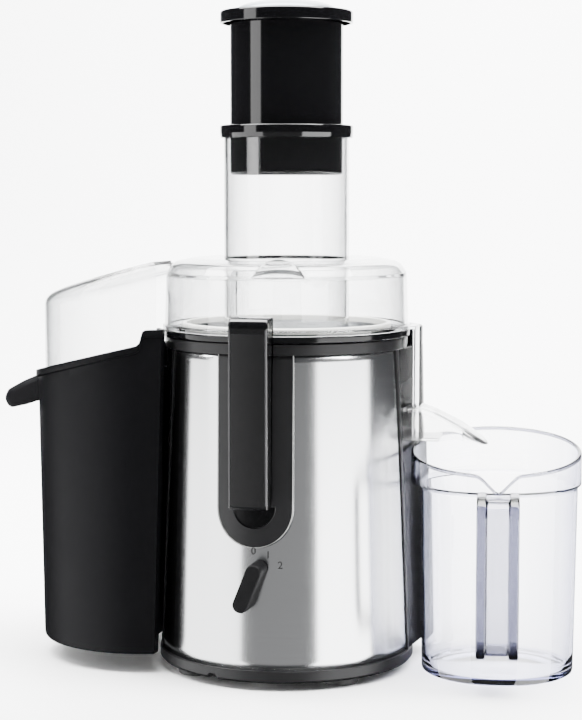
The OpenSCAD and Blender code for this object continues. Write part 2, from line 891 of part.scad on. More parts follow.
module motor_bolts() {
    z0 = lower_bearing_z - bracket_t;
    head_h = 2;
    color("silver")
    for (a = [45 : 90 : 315])
        rotate(a) translate([motor_bolt_pitch, 0, 0]) {
            translate([0, 0, z0]) cylinder(h = upper_bracket_z + bracket_t - z0, r = motor_bolt_r);
            translate([0, 0, z0 - head_h]) cylinder(h = head_h, r = 3.6);
        }
}

module motor_mounts() {
    color("#202020")
    for (a = [0 : 90 : 270])
        rotate(a) translate([stator_r * 0.6 + 11, 0, upper_bracket_z + bracket_t])
            cylinder(h = deck_z - upper_bracket_z - bracket_t, r = 5);
}

module bearing() {
    ring(bearing_r, shaft_r, bearing_w);
}

module lower_bearing() {
    color("#b8babc") translate([0, 0, lower_bearing_z]) bearing();
}

module upper_bearing() {
    color("#b8babc") translate([0, 0, upper_bearing_z]) bearing();
}

holder_in = commutator_r + 2;
module brush_holders() {
    color("#7a5a2c")
    for (a = [45, 225])
        rotate(a) difference() {
            translate([holder_in, -brush_w / 2 - 2, brush_z - brush_w / 2 - 2])
                cube([motor_bolt_pitch - 4 - holder_in, brush_w + 4, brush_w + 4]);
            translate([holder_in - cut, -brush_w / 2, brush_z - brush_w / 2])
                cube([14 + cut, brush_w, brush_w]);
        }
}

module carbon_brushes() {
    color("#2e2f31")
    for (a = [45, 225])
        rotate(a) difference() {
            translate([commutator_r - 1, -brush_w / 2, brush_z - brush_w / 2])
                cube([14, brush_w, brush_w]);
            translate([0, 0, commutator_z - cut])
                cylinder(h = commutator_h + 2 * cut, r = commutator_r + run_gap);
        }
}

module motor_shaft() {
    color("#c9cbcd") translate([0, 0, shaft_z0]) cylinder(h = shaft_top_z - shaft_z0 - 2, r = shaft_r);
}

module motor_armature() {
    slots = 12;
    color("#8c5a33")
    difference() {
        union() {
            translate([0, 0, stack_z]) cylinder(h = stack_h, r = armature_r);
            translate([0, 0, stack_z - 5]) cylinder(h = stack_h + 10, r = armature_r - 5);
        }
        translate([0, 0, stack_z - 10]) cylinder(h = stack_h + 20, r = shaft_r);
        for (i = [0 : slots - 1])
            rotate(i * 360 / slots) translate([armature_r - 3, -0.8, stack_z - cut])
                cube([6, 1.6, stack_h + 2 * cut]);
    }
}

module commutator() {
    color("#b4713c") translate([0, 0, commutator_z]) ring(commutator_r, shaft_r, commutator_h);
}

fan_z = lower_bearing_z + bearing_w + 3;
module cooling_fan() {
    blades = 9;
    color("#d9d8d2")
    difference() {
        union() {
            translate([0, 0, fan_z]) cylinder(h = 1.6, r = fan_r);
            translate([0, 0, fan_z]) cylinder(h = 10, r = shaft_r + 3);
            for (i = [0 : blades - 1])
                rotate(i * 360 / blades) translate([shaft_r + 6, -0.8, fan_z + 0.8])
                    cube([fan_r - shaft_r - 7, 1.6, 8.8]);
        }
        translate([0, 0, fan_z - cut]) cylinder(h = 20, r = shaft_r);
    }
}

module shaft_seal() {
    color("#3a3a3a") translate([0, 0, neck_top_z - seal_h]) ring(neck_bore, shaft_r + run_gap, seal_h);
}

module drive_coupler() {
    lug = 3;
    color("#1d1d1e")
    difference() {
        union() {
            translate([0, 0, coupler_z]) cylinder(h = coupler_h, r = coupler_r - lug);
            for (i = [0 : 2])
                rotate(i * 120) translate([0, -3, coupler_z]) cube([coupler_r, 6, coupler_h]);
        }
        translate([0, 0, coupler_z - cut]) cylinder(h = coupler_h - 2 + cut, r = shaft_r);
    }
}

// ---- Bowl, spout and filter ----
bowl_boss_r = neck_r + 3;
bowl_floor_t = 2.5;
module bowl_wall_cone(dr) {
    translate([0, 0, bowl_floor_z])
        cylinder(h = ring_top_z - bowl_floor_z, r1 = bowl_floor_r + dr, r2 = bowl_r + dr);
}

module juice_bowl() {
    color("#0f0f10")
    difference() {
        union() {
            rotate_extrude() polygon([
                [neck_r + 0.4, bowl_floor_z],
                [bowl_floor_r, bowl_floor_z],
                [bowl_r, ring_top_z],
                [rim_r, ring_top_z],
                [rim_r, bowl_rim_z],
                [bowl_r - bowl_wall, bowl_rim_z],
                [bowl_floor_r - bowl_wall, bowl_floor_z + bowl_floor_t],
                [bowl_boss_r, bowl_floor_z + bowl_floor_t],
                [bowl_boss_r, neck_top_z + 3],
                [neck_r + 0.4, neck_top_z + 3]
            ]);
            at_spout() translate([78, -spout_w / 2, ring_top_z + 0.3])
                cube([spout_plate_x - 78 - lay_gap, spout_w, bowl_rim_h - 0.6]);
        }
        at_spout() translate([40, -outlet_half, bowl_floor_z + bowl_floor_t + 0.3])
            cube([40, 2 * outlet_half, 13]);
    }
}

spout_root_x = bowl_floor_r - 4;
// Plan of the spout: straight sides and a round end
module spout_plan(dr) {
    r = spout_w / 2 - dr;
    translate([0, -r, 0]) cube([spout_reach - spout_w / 2, 2 * r, far]);
    translate([spout_reach - spout_w / 2, 0, 0]) cylinder(h = far, r = r);
}

module juice_spout() {
    z0 = spout_z;
    z1 = spout_z + spout_h;
    t = spout_wall;
    roof_x = spout_plate_x + 6;
    color("#e6ebee")
    difference() {
        union() {
            at_spout() intersection() {
                translate([0, spout_w / 2, 0]) rotate([90, 0, 0]) linear_extrude(spout_w)
                    polygon([
                        [spout_root_x, z0], [mouth_x, z0], [spout_reach - 20, z0 + 1.8],
                        [spout_reach - 4, z0 - 2], [spout_reach, z0 - 3], [spout_reach, z0 - 2],
                        [spout_reach - 5.5, z0 + 2.6], [spout_reach - 18, z0 + 11.4],
                        [spout_reach - 35, z0 + 20], [roof_x, z1], [spout_root_x, z1]
                    ]);
                spout_plan(0);
            }
            // plate that covers the gap up to the lid's flange
            at_spout() intersection() {
                translate([0, 0, z0])
                    ring(spout_plate_r + spout_plate_t, spout_plate_r, lid_flange_z - z0);
                translate([0, -spout_plate_w / 2, 0]) cube([far, spout_plate_w, far]);
            }
            at_spout() intersection() {
                translate([0, 0, lid_flange_z - 2])
                    ring(spout_plate_r + 1, rim_r + lay_gap, 2);
                translate([0, -spout_plate_w / 2, 0]) cube([far, spout_plate_w, far]);
            }
        }
        at_spout() intersection() {
            translate([0, spout_w / 2, 0]) rotate([90, 0, 0]) linear_extrude(spout_w)
                polygon([
                    [0, z0 + t], [mouth_x - 3, z0 + t], [mouth_x + 2, z0 - 8],
                    [spout_reach + 5, z0 - 8], [spout_reach - t, z0 - 3.4],
                    [spout_reach - 6.9, z0 + 0.7], [spout_reach - 19.2, z0 + 9.3],
                    [spout_reach - 35.6, z0 + 17.9], [roof_x - 0.6, z1 - t], [0, z1 - t]
                ]);
            spout_plan(t);
        }
        bowl_wall_cone(lay_gap);
        translate([0, 0, bowl_floor_z - 40]) cylinder(h = 40, r = bowl_floor_r + lay_gap);
    }
}

module basket_base() {
    hub_r = coupler_r + 3;
    color("#e9e9e6")
    difference() {
        union() {
            translate([0, 0, basket_z - basket_base_t]) cylinder(h = basket_base_t, r = basket_foot_r);
            translate([0, 0, coupler_z + 5]) cylinder(h = basket_z - coupler_z - 5, r = hub_r);
        }
        translate([0, 0, coupler_z]) cylinder(h = coupler_h, r = coupler_r + 0.6);
    }
}

module filter_basket() {
    h = basket_h - basket_rim_h;
    top_r = basket_rim_r - basket_rim_w;
    color("#b9bbbd")
    translate([0, 0, basket_z])
    difference() {
        cylinder(h = h, r1 = basket_foot_r, r2 = top_r);
        translate([0, 0, -0.001]) cylinder(
            h = h + 0.002, r1 = basket_foot_r - basket_t, r2 = top_r - basket_t
        );
    }
}

module basket_rim() {
    color("#dcdcd8")
    translate([0, 0, basket_top_z - basket_rim_h])
        ring(basket_rim_r, basket_rim_r - basket_rim_w - basket_t, basket_rim_h);
}

module grater_disc() {
    color("#c2c4c6")
    translate([0, 0, basket_z]) {
        cylinder(h = grater_t, r = grater_r);
        for (k = [0 : 2])
            for (i = [0 : 11])
                rotate(i * 30 + k * 10) translate([16 + k * 10, 0, grater_t])
                    cylinder(h = tooth_h, r1 = 1, r2 = 0.3, $fn = 24);
    }
}

// ---- Lid ----
arch_turn = 11;
arch_r = 17.6;
arch_rise = 12;
lid_draft = 1.2;
module lid_cover() {
    color("#eef2f4")
    difference() {
        union() {
            rotate_extrude() polygon([
                [lid_in_r, bowl_rim_z],
                [rim_r, bowl_rim_z],
                [rim_r, lid_flange_z],
                [lid_r, lid_flange_z],
                [lid_r - lid_draft, lid_edge_z],
                [lid_r - lid_draft - 1.3, lid_edge_z + 4.9],
                [lid_r - lid_draft - 4.3, lid_edge_z + 8.4],
                [lid_r - lid_draft - 9.5, lid_top_z],
                [tube_r, lid_top_z],
                [tube_r, lid_top_z - lid_wall],
                [lid_in_r - lid_draft - 8.5, lid_top_z - lid_wall],
                [lid_in_r - lid_draft - 3, lid_edge_z + 5.4],
                [lid_in_r - lid_draft, lid_edge_z]
            ]);
            // half-round tab that stands on the front of the shoulder
            rotate(arch_turn) intersection() {
                translate([0, -40, lid_edge_z + arch_rise - arch_r])
                    rotate([90, 0, 0]) cylinder(h = far, r = arch_r);
                translate([0, 0, lid_edge_z - 1])
                    ring(lid_r - lid_draft, lid_r - lid_draft - 2.4, 30);
            }
            // floor of the pulp way, over the gap between the housing and the bin
            at_bin() intersection() {
                translate([0, 0, bowl_rim_z + 0.3])
                    ring(hood_floor_r, lid_r - 1, lid_flange_t - 0.6);
                translate([-bin_c, 0, 0]) cylinder(h = far, r = hood_r - lid_wall - 0.2);
                translate([-far - hood_edge - lid_wall - lay_gap, -pulp_way_w / 2 - 4, 0])
                    cube([far, pulp_way_w + 8, far]);
            }
        }
        // way out for the pulp
        at_bin() translate([-lid_r - 10, -pulp_way_w / 2, lid_flange_z + 1])
            cube([30, pulp_way_w, lid_edge_z - lid_flange_z - 3]);
    }
}

module feed_tube() {
    color("#f2f5f6")
    translate([0, 0, tube_bottom_z]) ring(tube_r, tube_in_r, tube_top_z - tube_bottom_z);
}

// The space under a plane that slopes down to the left, z at distance d from the axis
module under_slope(z, d) {
    translate([-d, 0, z]) rotate([0, -bin_slope, 0])
        translate([-far, -far / 2, -2 * far]) cube([2 * far, far, 2 * far]);
}

module hood_block(dr, dz) {
    intersection() {
        translate([-bin_c, 0, 0]) cylinder(h = far, r = hood_r - dr);
        under_slope(hood_z - dz, lid_r);
        translate([-far - hood_edge - dr, -far / 2, 0]) cube([far, far, far]);
    }
}

// The lid's outside as a solid, grown by dr
module lid_block(dr) {
    r = lid_r - lid_draft + dr;
    rotate_extrude() polygon([
        [0, 0],
        [lid_r + dr, 0],
        [lid_r + dr, lid_flange_z],
        [r, lid_edge_z],
        [r - 1.3, lid_edge_z + 4.9 + dr],
        [r - 4.3, lid_edge_z + 8.4 + dr],
        [r - 9.5, lid_top_z + dr],
        [0, lid_top_z + dr]
    ]);
}

module pulp_hood() {
    skirt = 7;
    color("#f1f4f5")
    at_bin() difference() {
        hood_block(0, 0);
        difference() {
            hood_block(lid_wall, lid_wall);
            lid_block(0);
        }
        lid_block(0.02);
        under_slope(bin_rim_z - skirt, bin_end_top);
        // room for the bin's wall and ear beside the housing
        cylinder(h = bin_ear_z + 0.6, r = bin_clear_top + bin_wall + 1.6);
        translate([0, 0, -cut]) cylinder(h = lid_flange_z + cut + lay_gap, r = rim_r + 0.4);
    }
}

module tube_collar() {
    color("#121213")
    difference() {
        translate([0, 0, tube_top_z - 3]) cylinder(h = collar_h + 3, r = collar_r);
        translate([0, 0, tube_top_z - 3 - cut]) cylinder(h = 3 + cut, r = tube_r);
        translate([0, 0, tube_top_z - cut]) cylinder(h = far, r = plunger_r + move_gap);
    }
}

// ---- Pusher ----
module pusher_body() {
    color("#101011")
    difference() {
        union() {
            translate([0, 0, plunger_z]) cylinder(h = plunger_l + 1, r = plunger_r);
            translate([0, 0, rim_under_z]) cylinder(h = pusher_rim_h, r = pusher_rim_r);
        }
        translate([0, 0, plunger_z + plunger_wall])
            cylinder(h = far, r = plunger_r - plunger_wall);
        translate([0, 0, rim_under_z - cut])
            ring(pusher_rim_r - 2, plunger_r, pusher_rim_h - 2 + cut);
    }
}

module pusher_cap() {
    plug_h = 6;
    dome_r = (cap_r * cap_r + cap_rise * cap_rise) / (2 * cap_rise);
    color("#cfd2d4")
    difference() {
        union() {
            translate([0, 0, cap_z - plug_h])
                cylinder(h = plug_h, r = plunger_r - plunger_wall);
            intersection() {
                translate([0, 0, cap_z + cap_rise - dome_r]) sphere(r = dome_r);
                translate([0, 0, cap_z - 0.01]) cylinder(h = far, r = cap_r);
            }
        }
        translate([0, 0, cap_z - plug_h - cut])
            cylinder(h = plug_h - 1, r = plunger_r - plunger_wall - 2);
    }
}

// ---- Pulp bin ----
module bin_hanger() {
    lug_w = 5;
    color("#141415")
    at_bin() {
        translate([-hang_c, -hang_half, hang_z]) rotate([-90, 0, 0])
            cylinder(h = 2 * hang_half, r = hang_r);
        for (s = [-1, 1])
            difference() {
                translate([-hang_c - 1.2, s * hang_half - lug_w / 2, hang_z - 4])
                    cube([hang_c - 60, lug_w, 6]);
                cylinder(h = far, r1 = body_r(0), r2 = body_r(far));
            }
    }
}

// The bin's solid outline: a cone about its own centre, cut back from the housing
module bin_block(dr, z0) {
    difference() {
        intersection() {
            translate([-bin_c, 0, z0])
                cylinder(
                    h = bin_ear_z + 20 - z0,
                    r1 = bin_bottom_r - dr,
                    r2 = bin_top_r - dr
                );
            translate([0, far / 2, 0]) rotate([90, 0, 0]) linear_extrude(far)
                polygon([
                    [-far, 0], [-bin_end_bottom - dr, 0],
                    [-bin_end_top - dr, bin_rim_z], [-bin_end_top - dr, far], [-far, far]
                ]);
        }
        translate([0, 0, body_z0 - 100]) cylinder(
            h = body_h + 200,
            r1 = bin_clear_bottom + dr + (bin_clear_bottom - bin_clear_top) * 100 / body_h,
            r2 = bin_clear_top + dr - (bin_clear_bottom - bin_clear_top) * 100 / body_h
        );
    }
}

module lip_profile() {
    root = bin_c + bin_top_r - 2.5;
    tip_r = 6;
    polygon([
        [-root, bin_rim_z - 46.5],
        [-root - lip_l + 2, bin_rim_z - 46.5 - 7.4],
        [-root - lip_l + 2, bin_rim_z - 46.5 + 6],
        [-root, bin_rim_z - 28]
    ]);
    translate([-root - lip_l + 1, bin_rim_z - 46.5 - 1.5]) circle(r = tip_r);
}

module pulp_bin() {
    hook_r = hang_r + 0.06;
    color("#232323")
    at_bin() difference() {
        union() {
            intersection() {
                difference() {
                    bin_block(0, bin_floor_z);
                    bin_block(bin_wall, bin_floor_z + bin_wall);
                }
                union() {
                    under_slope(bin_rim_z, bin_end_top);
                    translate([-bin_ear_end, -far / 2, 0]) cube([far, far, bin_ear_z]);
                }
            }
            // thickened rim
            intersection() {
                difference() {
                    bin_block(-bin_rim_w, bin_floor_z);
                    bin_block(bin_wall, bin_floor_z);
                }
                difference() {
                    under_slope(bin_rim_z, bin_end_top);
                    under_slope(bin_rim_z - bin_rim_t, bin_end_top);
                }
                translate([-far - bin_ear_end, -far / 2, 0]) cube([far, far, far]);
            }
            // lifting lip
            difference() {
                intersection() {
                    translate([0, lip_w / 2, 0]) rotate([90, 0, 0]) linear_extrude(lip_w) lip_profile();
                    translate([-bin_c, 0, 0]) cylinder(h = far, r = bin_top_r + lip_l - 1);
                }
                bin_block(bin_wall / 2, bin_floor_z);
            }
            // pad that rests against the housing low down
            difference() {
                translate([-bin_clear_bottom - 4, -9, 24]) cube([14, 18, 12]);
                body_cone(body_z0, body_z1, 2 * lay_gap);
                bin_block(bin_wall / 2, bin_floor_z);
            }
            // hook over the hanger
            intersection() {
                translate([-hang_c, -hang_half + 4, hang_z]) {
                    rotate([-90, 0, 0]) cylinder(h = 2 * hang_half - 8, r = hook_r + hook_wall);
                    translate([-8, 0, -hook_r - 3])
                        cube([8, 2 * hang_half - 8, 2 * hook_r + 3 + hook_wall]);
                }
                translate([-bin_clear_top - 6, -far / 2, 0]) cube([far, far, far]);
            }
        }
        translate([-hang_c, -hang_half, hang_z]) rotate([-90, 0, 0])
            cylinder(h = 2 * hang_half, r = hook_r);
        translate([-hang_c - hook_r, -hang_half, hang_z - 20])
            cube([2 * hook_r, 2 * hang_half, 20]);
    }
}

// ---- Jug ----
// The space under the jug's sloping rim, lowered by dz
module jug_under_rim(dz) {
    at_handle() translate([0, 0, jug_h - dz]) rotate([0, jug_slope, 0])
        translate([-far / 2, -far / 2, -far]) cube([far, far, far]);
}

module jug_round(dr, z0) {
    top = jug_h + 14;
    step_z = jug_h - jug_step - 3;
    at_jug() rotate_extrude() polygon([
        [0, z0],
        [jug_base_r - dr - jug_foot_h / 2, z0],
        [jug_base_r - dr, z0 + jug_foot_h / 2],
        [jug_body_r - dr, step_z + 1.2],
        [0, step_z + 1.2]
    ]);
    at_jug() translate([-rim_shift, 0, 0]) rotate_extrude() polygon([
        [0, step_z - 1 + dr * 0.6],
        [jug_body_r - rim_shift - dr - 3, step_z - 1 + dr * 0.6],
        [jug_rim_r - dr, step_z + 2 + dr * 0.6],
        [jug_rim_r - dr, top],
        [0, top]
    ]);
}

module jug_body() {
    color("#e8edf2")
    difference() {
        intersection() {
            jug_round(0, 0);
            jug_under_rim(0);
        }
        jug_round(jug_wall, jug_foot_h);
        // notch in the rim over the handle
        at_handle() translate([40, 0, jug_h - handle_drop - 2])
            rotate([45, 0, 0]) cube([40, 40, 40]);
    }
}

module handle_outline(grow) {
    r = 8;
    h = jug_h - handle_drop - handle_z0;
    d = handle_gap + handle_t;
    translate([-20, -grow]) square([20 + d - r, h + 2 * grow]);
    translate([0, r]) square([d + grow, h - 2 * r]);
    for (z = [r, h - r])
        translate([d - r, z]) circle(r = r + grow);
}

module jug_handle() {
    color("#e8edf2")
    difference() {
        at_handle() translate([jug_body_r, handle_w / 2, handle_z0]) rotate([90, 0, 0])
            linear_extrude(handle_w) difference() {
                handle_outline(0);
                handle_outline(-handle_t);
            }
        jug_round(-0.02, -cut);
    }
}

rubber_feet();
base_ring();
base_plate();
base_screws();
cord_gland();
housing_shell();
housing_crown();
motor_deck();
steel_panel();
panel_beads();
top_ring();
rear_ring();
latch_recess();
hinge_pocket();
latch_hinge_pin();
latch_lever();
latch_grip();
interlock_pin();
interlock_switch();
speed_knob();
rotary_switch();
motor_lower_bracket();
motor_upper_bracket();
motor_stator();
field_coils();
motor_bolts();
motor_mounts();
lower_bearing();
upper_bearing();
brush_holders();
carbon_brushes();
motor_shaft();
motor_armature();
commutator();
cooling_fan();
shaft_seal();
drive_coupler();
juice_bowl();
juice_spout();
basket_base();
filter_basket();
basket_rim();
grater_disc();
lid_cover();
feed_tube();
pulp_hood();
tube_collar();
pusher_body();
pusher_cap();
bin_hanger();
pulp_bin();
jug_body();
jug_handle();
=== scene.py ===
import math

import bmesh
import bpy
import numpy as np
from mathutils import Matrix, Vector


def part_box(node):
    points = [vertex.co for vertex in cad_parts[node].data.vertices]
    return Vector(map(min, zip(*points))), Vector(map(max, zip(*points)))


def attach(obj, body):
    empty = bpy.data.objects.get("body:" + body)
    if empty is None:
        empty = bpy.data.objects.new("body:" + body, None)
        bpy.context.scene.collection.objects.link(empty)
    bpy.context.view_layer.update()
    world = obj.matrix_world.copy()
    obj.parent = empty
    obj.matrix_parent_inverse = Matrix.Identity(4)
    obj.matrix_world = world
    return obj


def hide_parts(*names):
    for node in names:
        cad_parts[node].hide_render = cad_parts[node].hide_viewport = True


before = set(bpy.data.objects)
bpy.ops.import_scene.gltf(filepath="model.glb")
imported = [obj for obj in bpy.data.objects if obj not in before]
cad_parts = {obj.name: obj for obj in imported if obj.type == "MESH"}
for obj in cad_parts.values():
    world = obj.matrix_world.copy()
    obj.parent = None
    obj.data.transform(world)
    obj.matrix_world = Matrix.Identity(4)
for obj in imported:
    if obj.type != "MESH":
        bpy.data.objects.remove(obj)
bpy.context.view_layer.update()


def new_object(name, data):
    """An object at the origin, linked to the scene."""
    made = bpy.data.objects.new(name, data)
    bpy.context.scene.collection.objects.link(made)
    return made


# ---- Camera, floor and lights ----
# A long lens, level with the lid and to the right of the front, as kitchen appliances
# are usually shown, on a pale seamless floor between large soft boxes.
camera_data = bpy.data.cameras.new("camera")
camera_data.lens = 96.8
camera_data.sensor_width = 36
camera_data.clip_end = 50
camera = new_object("camera", camera_data)
camera.location = (0.3302, -1.2471, 0.3206)
VIEW = 14.7  # degrees to the right of straight front
turn, dip = math.radians(VIEW), math.radians(5.18)
aim = Vector((-math.sin(turn) * math.cos(dip), math.cos(turn) * math.cos(dip), -math.sin(dip)))
camera.rotation_euler = aim.to_track_quat("-Z", "Y").to_euler()
bpy.context.scene.camera = camera


def colour(text):
    """sRGB hex to linear: c/12.92 below 0.04045, else ((c + 0.055)/1.055)^2.4."""
    c = np.array([int(text[i : i + 2], 16) for i in (1, 3, 5)]) / 255
    c = np.where(c <= 0.04045, c / 12.92, ((c + 0.055) / 1.055) ** 2.4)
    return (*c.tolist(), 1.0)


def add(tree, kind, settings=None, **sockets):
    """Adds one shader node: settings go on the node, sockets get a value or a link.
    An underscore stands for a space, and i with a number for the socket of that number."""
    made = tree.nodes.new("ShaderNode" + kind)
    for key, value in (settings or {}).items():
        setattr(made, key, value)
    for key, value in sockets.items():
        numbered = key[0] == "i" and key[1:].isdigit()
        socket = made.inputs[int(key[1:]) if numbered else key.replace("_", " ")]
        if isinstance(value, bpy.types.NodeSocket):
            tree.links.new(value, socket)
        else:
            socket.default_value = value
    return made


def material(name):
    """A new material with only its output: the material, its tree and the Surface socket."""
    made = bpy.data.materials.new(name)
    made.use_nodes = True
    tree = made.node_tree
    tree.nodes.clear()
    return made, tree, tree.nodes.new("ShaderNodeOutputMaterial").inputs["Surface"]


def object_place(tree, scale=(1, 1, 1)):
    """Object coordinates, in metres, stretched by scale."""
    place = add(tree, "TexCoord").outputs["Object"]
    return add(tree, "Mapping", Vector=place, Scale=scale).outputs["Vector"]


def noise(tree, scale, detail, stretch=(1, 1, 1), **sockets):
    """Soft noise from 0 to 1 over the object, drawn out by stretch."""
    place = object_place(tree, stretch)
    made = add(tree, "TexNoise", Vector=place, Scale=scale, Detail=detail, **sockets)
    return made.outputs["Fac"]


def blend(tree, factor, first, second):
    """A colour between two, by a factor from 0 to 1."""
    mix = add(tree, "Mix", {"data_type": "RGBA"}, Factor=factor, i6=first, i7=second)
    return mix.outputs[2]


def principled(tree, surface=None, **sockets):
    """The main shader; given the Surface socket, it is linked to it."""
    shade = add(tree, "BsdfPrincipled", **sockets)
    if surface:
        tree.links.new(shade.outputs[0], surface)
    return shade.outputs[0]


# Painted studio floor, matt and nearly white, curved up behind
floor_white, tree, surface = material("floor_white")
tone = blend(tree, noise(tree, 3.0, 3.0), colour("#f4f4f4"), colour("#f8f8f8"))
principled(tree, surface, Base_Color=tone, Roughness=0.55)


# Floor, flat to 1.2 m behind; there a paper sweep takes over, a quarter circle of radius
# 1 m and then straight up. Shiny pieces mirror the middle of the sweep only, and clear ones
# bend no light in from beside it, as where a studio's black flags frame the paper
a = np.linspace(0, math.pi / 2, 24)
bend_y, bend_z = [*(1.2 + np.sin(a)), 2.2], [*(1 - np.cos(a)), 5.0]
for name, left, right, line_y, line_z in (
    ("floor", -6.0, 6.0, [-6.0, 1.2], [0.0, 0.0]),
    ("sweep", -1.6, 0.55, bend_y, bend_z),
    ("sweep_left", -3.2, -1.6, bend_y, bend_z),
    ("sweep_right", 0.55, 3.2, bend_y, bend_z),
):
    n = len(line_y)
    points = [(x, y, z - 0.0002) for x in (left, right) for y, z in zip(line_y, line_z)]
    mesh = bpy.data.meshes.new(name)
    mesh.from_pydata(points, [], [(i, i + n, i + n + 1, i + 1) for i in range(n - 1)])
    mesh.materials.append(floor_white)
    mesh.shade_smooth()
    sheet = new_object(name, mesh)
    sheet.visible_glossy = name == "sweep"
    sheet.visible_transmission = name in ("floor", "sweep")


def lamp(name, azimuth, distance, height, width, tall, watts, target=(0, 0, 0.2)):
    """A soft box at an azimuth from straight front, towards +X, that faces the target."""
    data = bpy.data.lights.new(name, "AREA")
    data.shape = "RECTANGLE"
    data.size, data.size_y = width, tall
    data.energy = watts
    made = new_object(name, data)
    t = math.radians(azimuth)
    made.location = (distance * math.sin(t), -distance * math.cos(t), height)
    made.rotation_euler = (Vector(target) - made.location).to_track_quat("-Z", "Y").to_euler()
    made.visible_camera = False


# low panels that the steel mirrors, then a tall narrow box, one above and behind, and one
# on the sweep
lamp("right_panel", VIEW + 55, 1.5, -0.83, 1.56, 2.0, 110, target=(0, 0, -0.83))
lamp("left_panel", VIEW - 75, 1.5, -0.83, 2.00, 2.0, 75, target=(0, 0, -0.83))
lamp("front_card", VIEW - 7, 1.9, -0.83, 2.50, 2.0, 6, target=(0, 0, -0.83))
lamp("left_box", VIEW - 65, 1.5, 0.87, 0.66, 1.4, 18, target=(0, 0, 0.6))
lamp("top_box", VIEW + 180, 0.45, 1.9, 1.5, 1.0, 46)
lamp("back_box", 180, 0.1, 1.9, 3.4, 1.6, 640, target=(0, 2.2, 0.4))

world = bpy.data.worlds.new("studio")
bpy.context.scene.world = world
world.use_nodes = True
tree = world.node_tree
background = tree.nodes["Background"].inputs
background["Color"].default_value = (0.92, 0.94, 0.97, 1)
# a pale backdrop past the floor's end, that gives the juicer next to no light
path = add(tree, "LightPath")
strength = add(tree, "MapRange", Value=path.outputs["Is Camera Ray"], To_Min=0.10, To_Max=2.6)
tree.links.new(strength.outputs["Result"], background["Strength"])


# ---- Base ring and feet ----
# The base ring is a dark grey ABS moulding with a chamfer low down and a small notch
# at the front; four rubber feet are pushed into the base plate and carry the juicer.
def rounded(corners, closed=True, steps=5):
    """Corners (x, y, radius) to a path: each corner is an arc tangent to both sides, and each
    straight over 1.6 long has a point 0.4 from both of its ends."""
    n = len(corners)
    out = []
    for i, (x, y, r) in enumerate(corners):
        here = np.array([x, y], float)
        if not closed and i in (0, n - 1):
            out.append(here[None])
            continue
        before = np.array(corners[i - 1][:2], float) - here
        after = np.array(corners[(i + 1) % n][:2], float) - here
        lb, la = np.linalg.norm(before), np.linalg.norm(after)
        before, after = before / lb, after / la
        half = math.acos(float(np.clip(before @ after, -1, 1))) / 2
        if r <= 0 or half > 1.55:
            out.append(here[None])
            continue
        reach = min(r / math.tan(half), lb * 0.49, la * 0.49)
        r = reach * math.tan(half)
        middle = here + (before + after) / np.linalg.norm(before + after) * r / math.sin(half)
        p, q = here + before * reach - middle, here + after * reach - middle
        t = np.linspace(0, 1, steps + 1)[:, None]
        sweep = math.pi - 2 * half
        arc = (np.sin((1 - t) * sweep) * p + np.sin(t * sweep) * q) / math.sin(sweep)
        out.append(middle + arc)
    path = np.concatenate(out)
    following = np.roll(path, -1, 0) if closed else path[1:]
    starts = path[: len(following)]
    gap = np.linalg.norm(following - starts, axis=1)
    step = (following - starts) / np.maximum(gap, 1e-9)[:, None] * 0.4
    trio = np.stack([starts, starts + step, following - step], 1)
    spread = trio[np.stack([gap >= 0, gap > 1.6, gap > 1.6], 1)]
    return spread if closed else np.concatenate([spread, path[-1:]])


def solid(
    name, grids, finish, body="base_unit", also=(), fill=False, sharp=32, weld=2e-6, thick=0.0
):
    """A piece from point grids in mm: each is (grid, first way closed, second way closed).
    It takes the place of the CAD node of its name, where there is one, and of those in also.
    A sheet has a thickness in mm: its first way crossed with its second points outwards,
    and it grows inwards."""
    points, faces, start = [], [], 0
    for grid, wrap_u, wrap_v in grids:
        nu, nv = grid.shape[:2]
        points.append(grid.reshape(-1, 3))
        i = np.arange(nu if wrap_u else nu - 1)[:, None]
        j = np.arange(nv if wrap_v else nv - 1)[None, :]
        i1, j1 = (i + 1) % nu, (j + 1) % nv
        quads = np.stack([i * nv + j, i1 * nv + j, i1 * nv + j1, i * nv + j1], -1)
        faces.append(quads.reshape(-1, 4) + start)
        start += nu * nv
    points = np.concatenate(points) / 1000
    faces = np.concatenate(faces)
    mesh = bpy.data.meshes.new(name + "_visual")
    mesh.from_pydata(points.tolist(), [], faces.tolist())
    work = bmesh.new()
    work.from_mesh(mesh)
    bmesh.ops.remove_doubles(work, verts=work.verts, dist=weld)
    if fill:
        open_edges = [e for e in work.edges if e.is_boundary]
        bmesh.ops.holes_fill(work, edges=open_edges, sides=0)
    if not thick:
        bmesh.ops.recalc_face_normals(work, faces=work.faces)
    work.to_mesh(mesh)
    work.free()
    mesh.shade_smooth()
    mesh.set_sharp_from_angle(angle=math.radians(sharp))
    mesh.materials.append(finish)
    made = new_object(name + "_visual", mesh)
    if thick:
        wall = made.modifiers.new("wall", "SOLIDIFY")
        wall.thickness, wall.offset = thick / 1000, -1
    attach(made, body)
    replaces = [node for node in (name, *also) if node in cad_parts]
    if replaces:
        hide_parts(*replaces)


def turned(profile, start=0.0, turn=360.0, n=180):
    """A profile (radius, height) turned about the motor's axis, from straight front to +X."""
    whole = turn >= 360
    t = np.radians(start + np.linspace(0, turn, n + 1)[: n if whole else n + 1])
    r, z = profile[:, 0][None, :], profile[:, 1][None, :]
    s, c = np.sin(t)[:, None], np.cos(t)[:, None]
    return np.stack([r * s, -r * c, z + 0 * s], -1), whole, True


def about_z(points, angle):
    """Turns points about the motor's axis, from +X towards +Y."""
    c, s = math.cos(angle), math.sin(angle)
    return points @ np.array([[c, -s, 0], [s, c, 0], [0, 0, 1]]).T


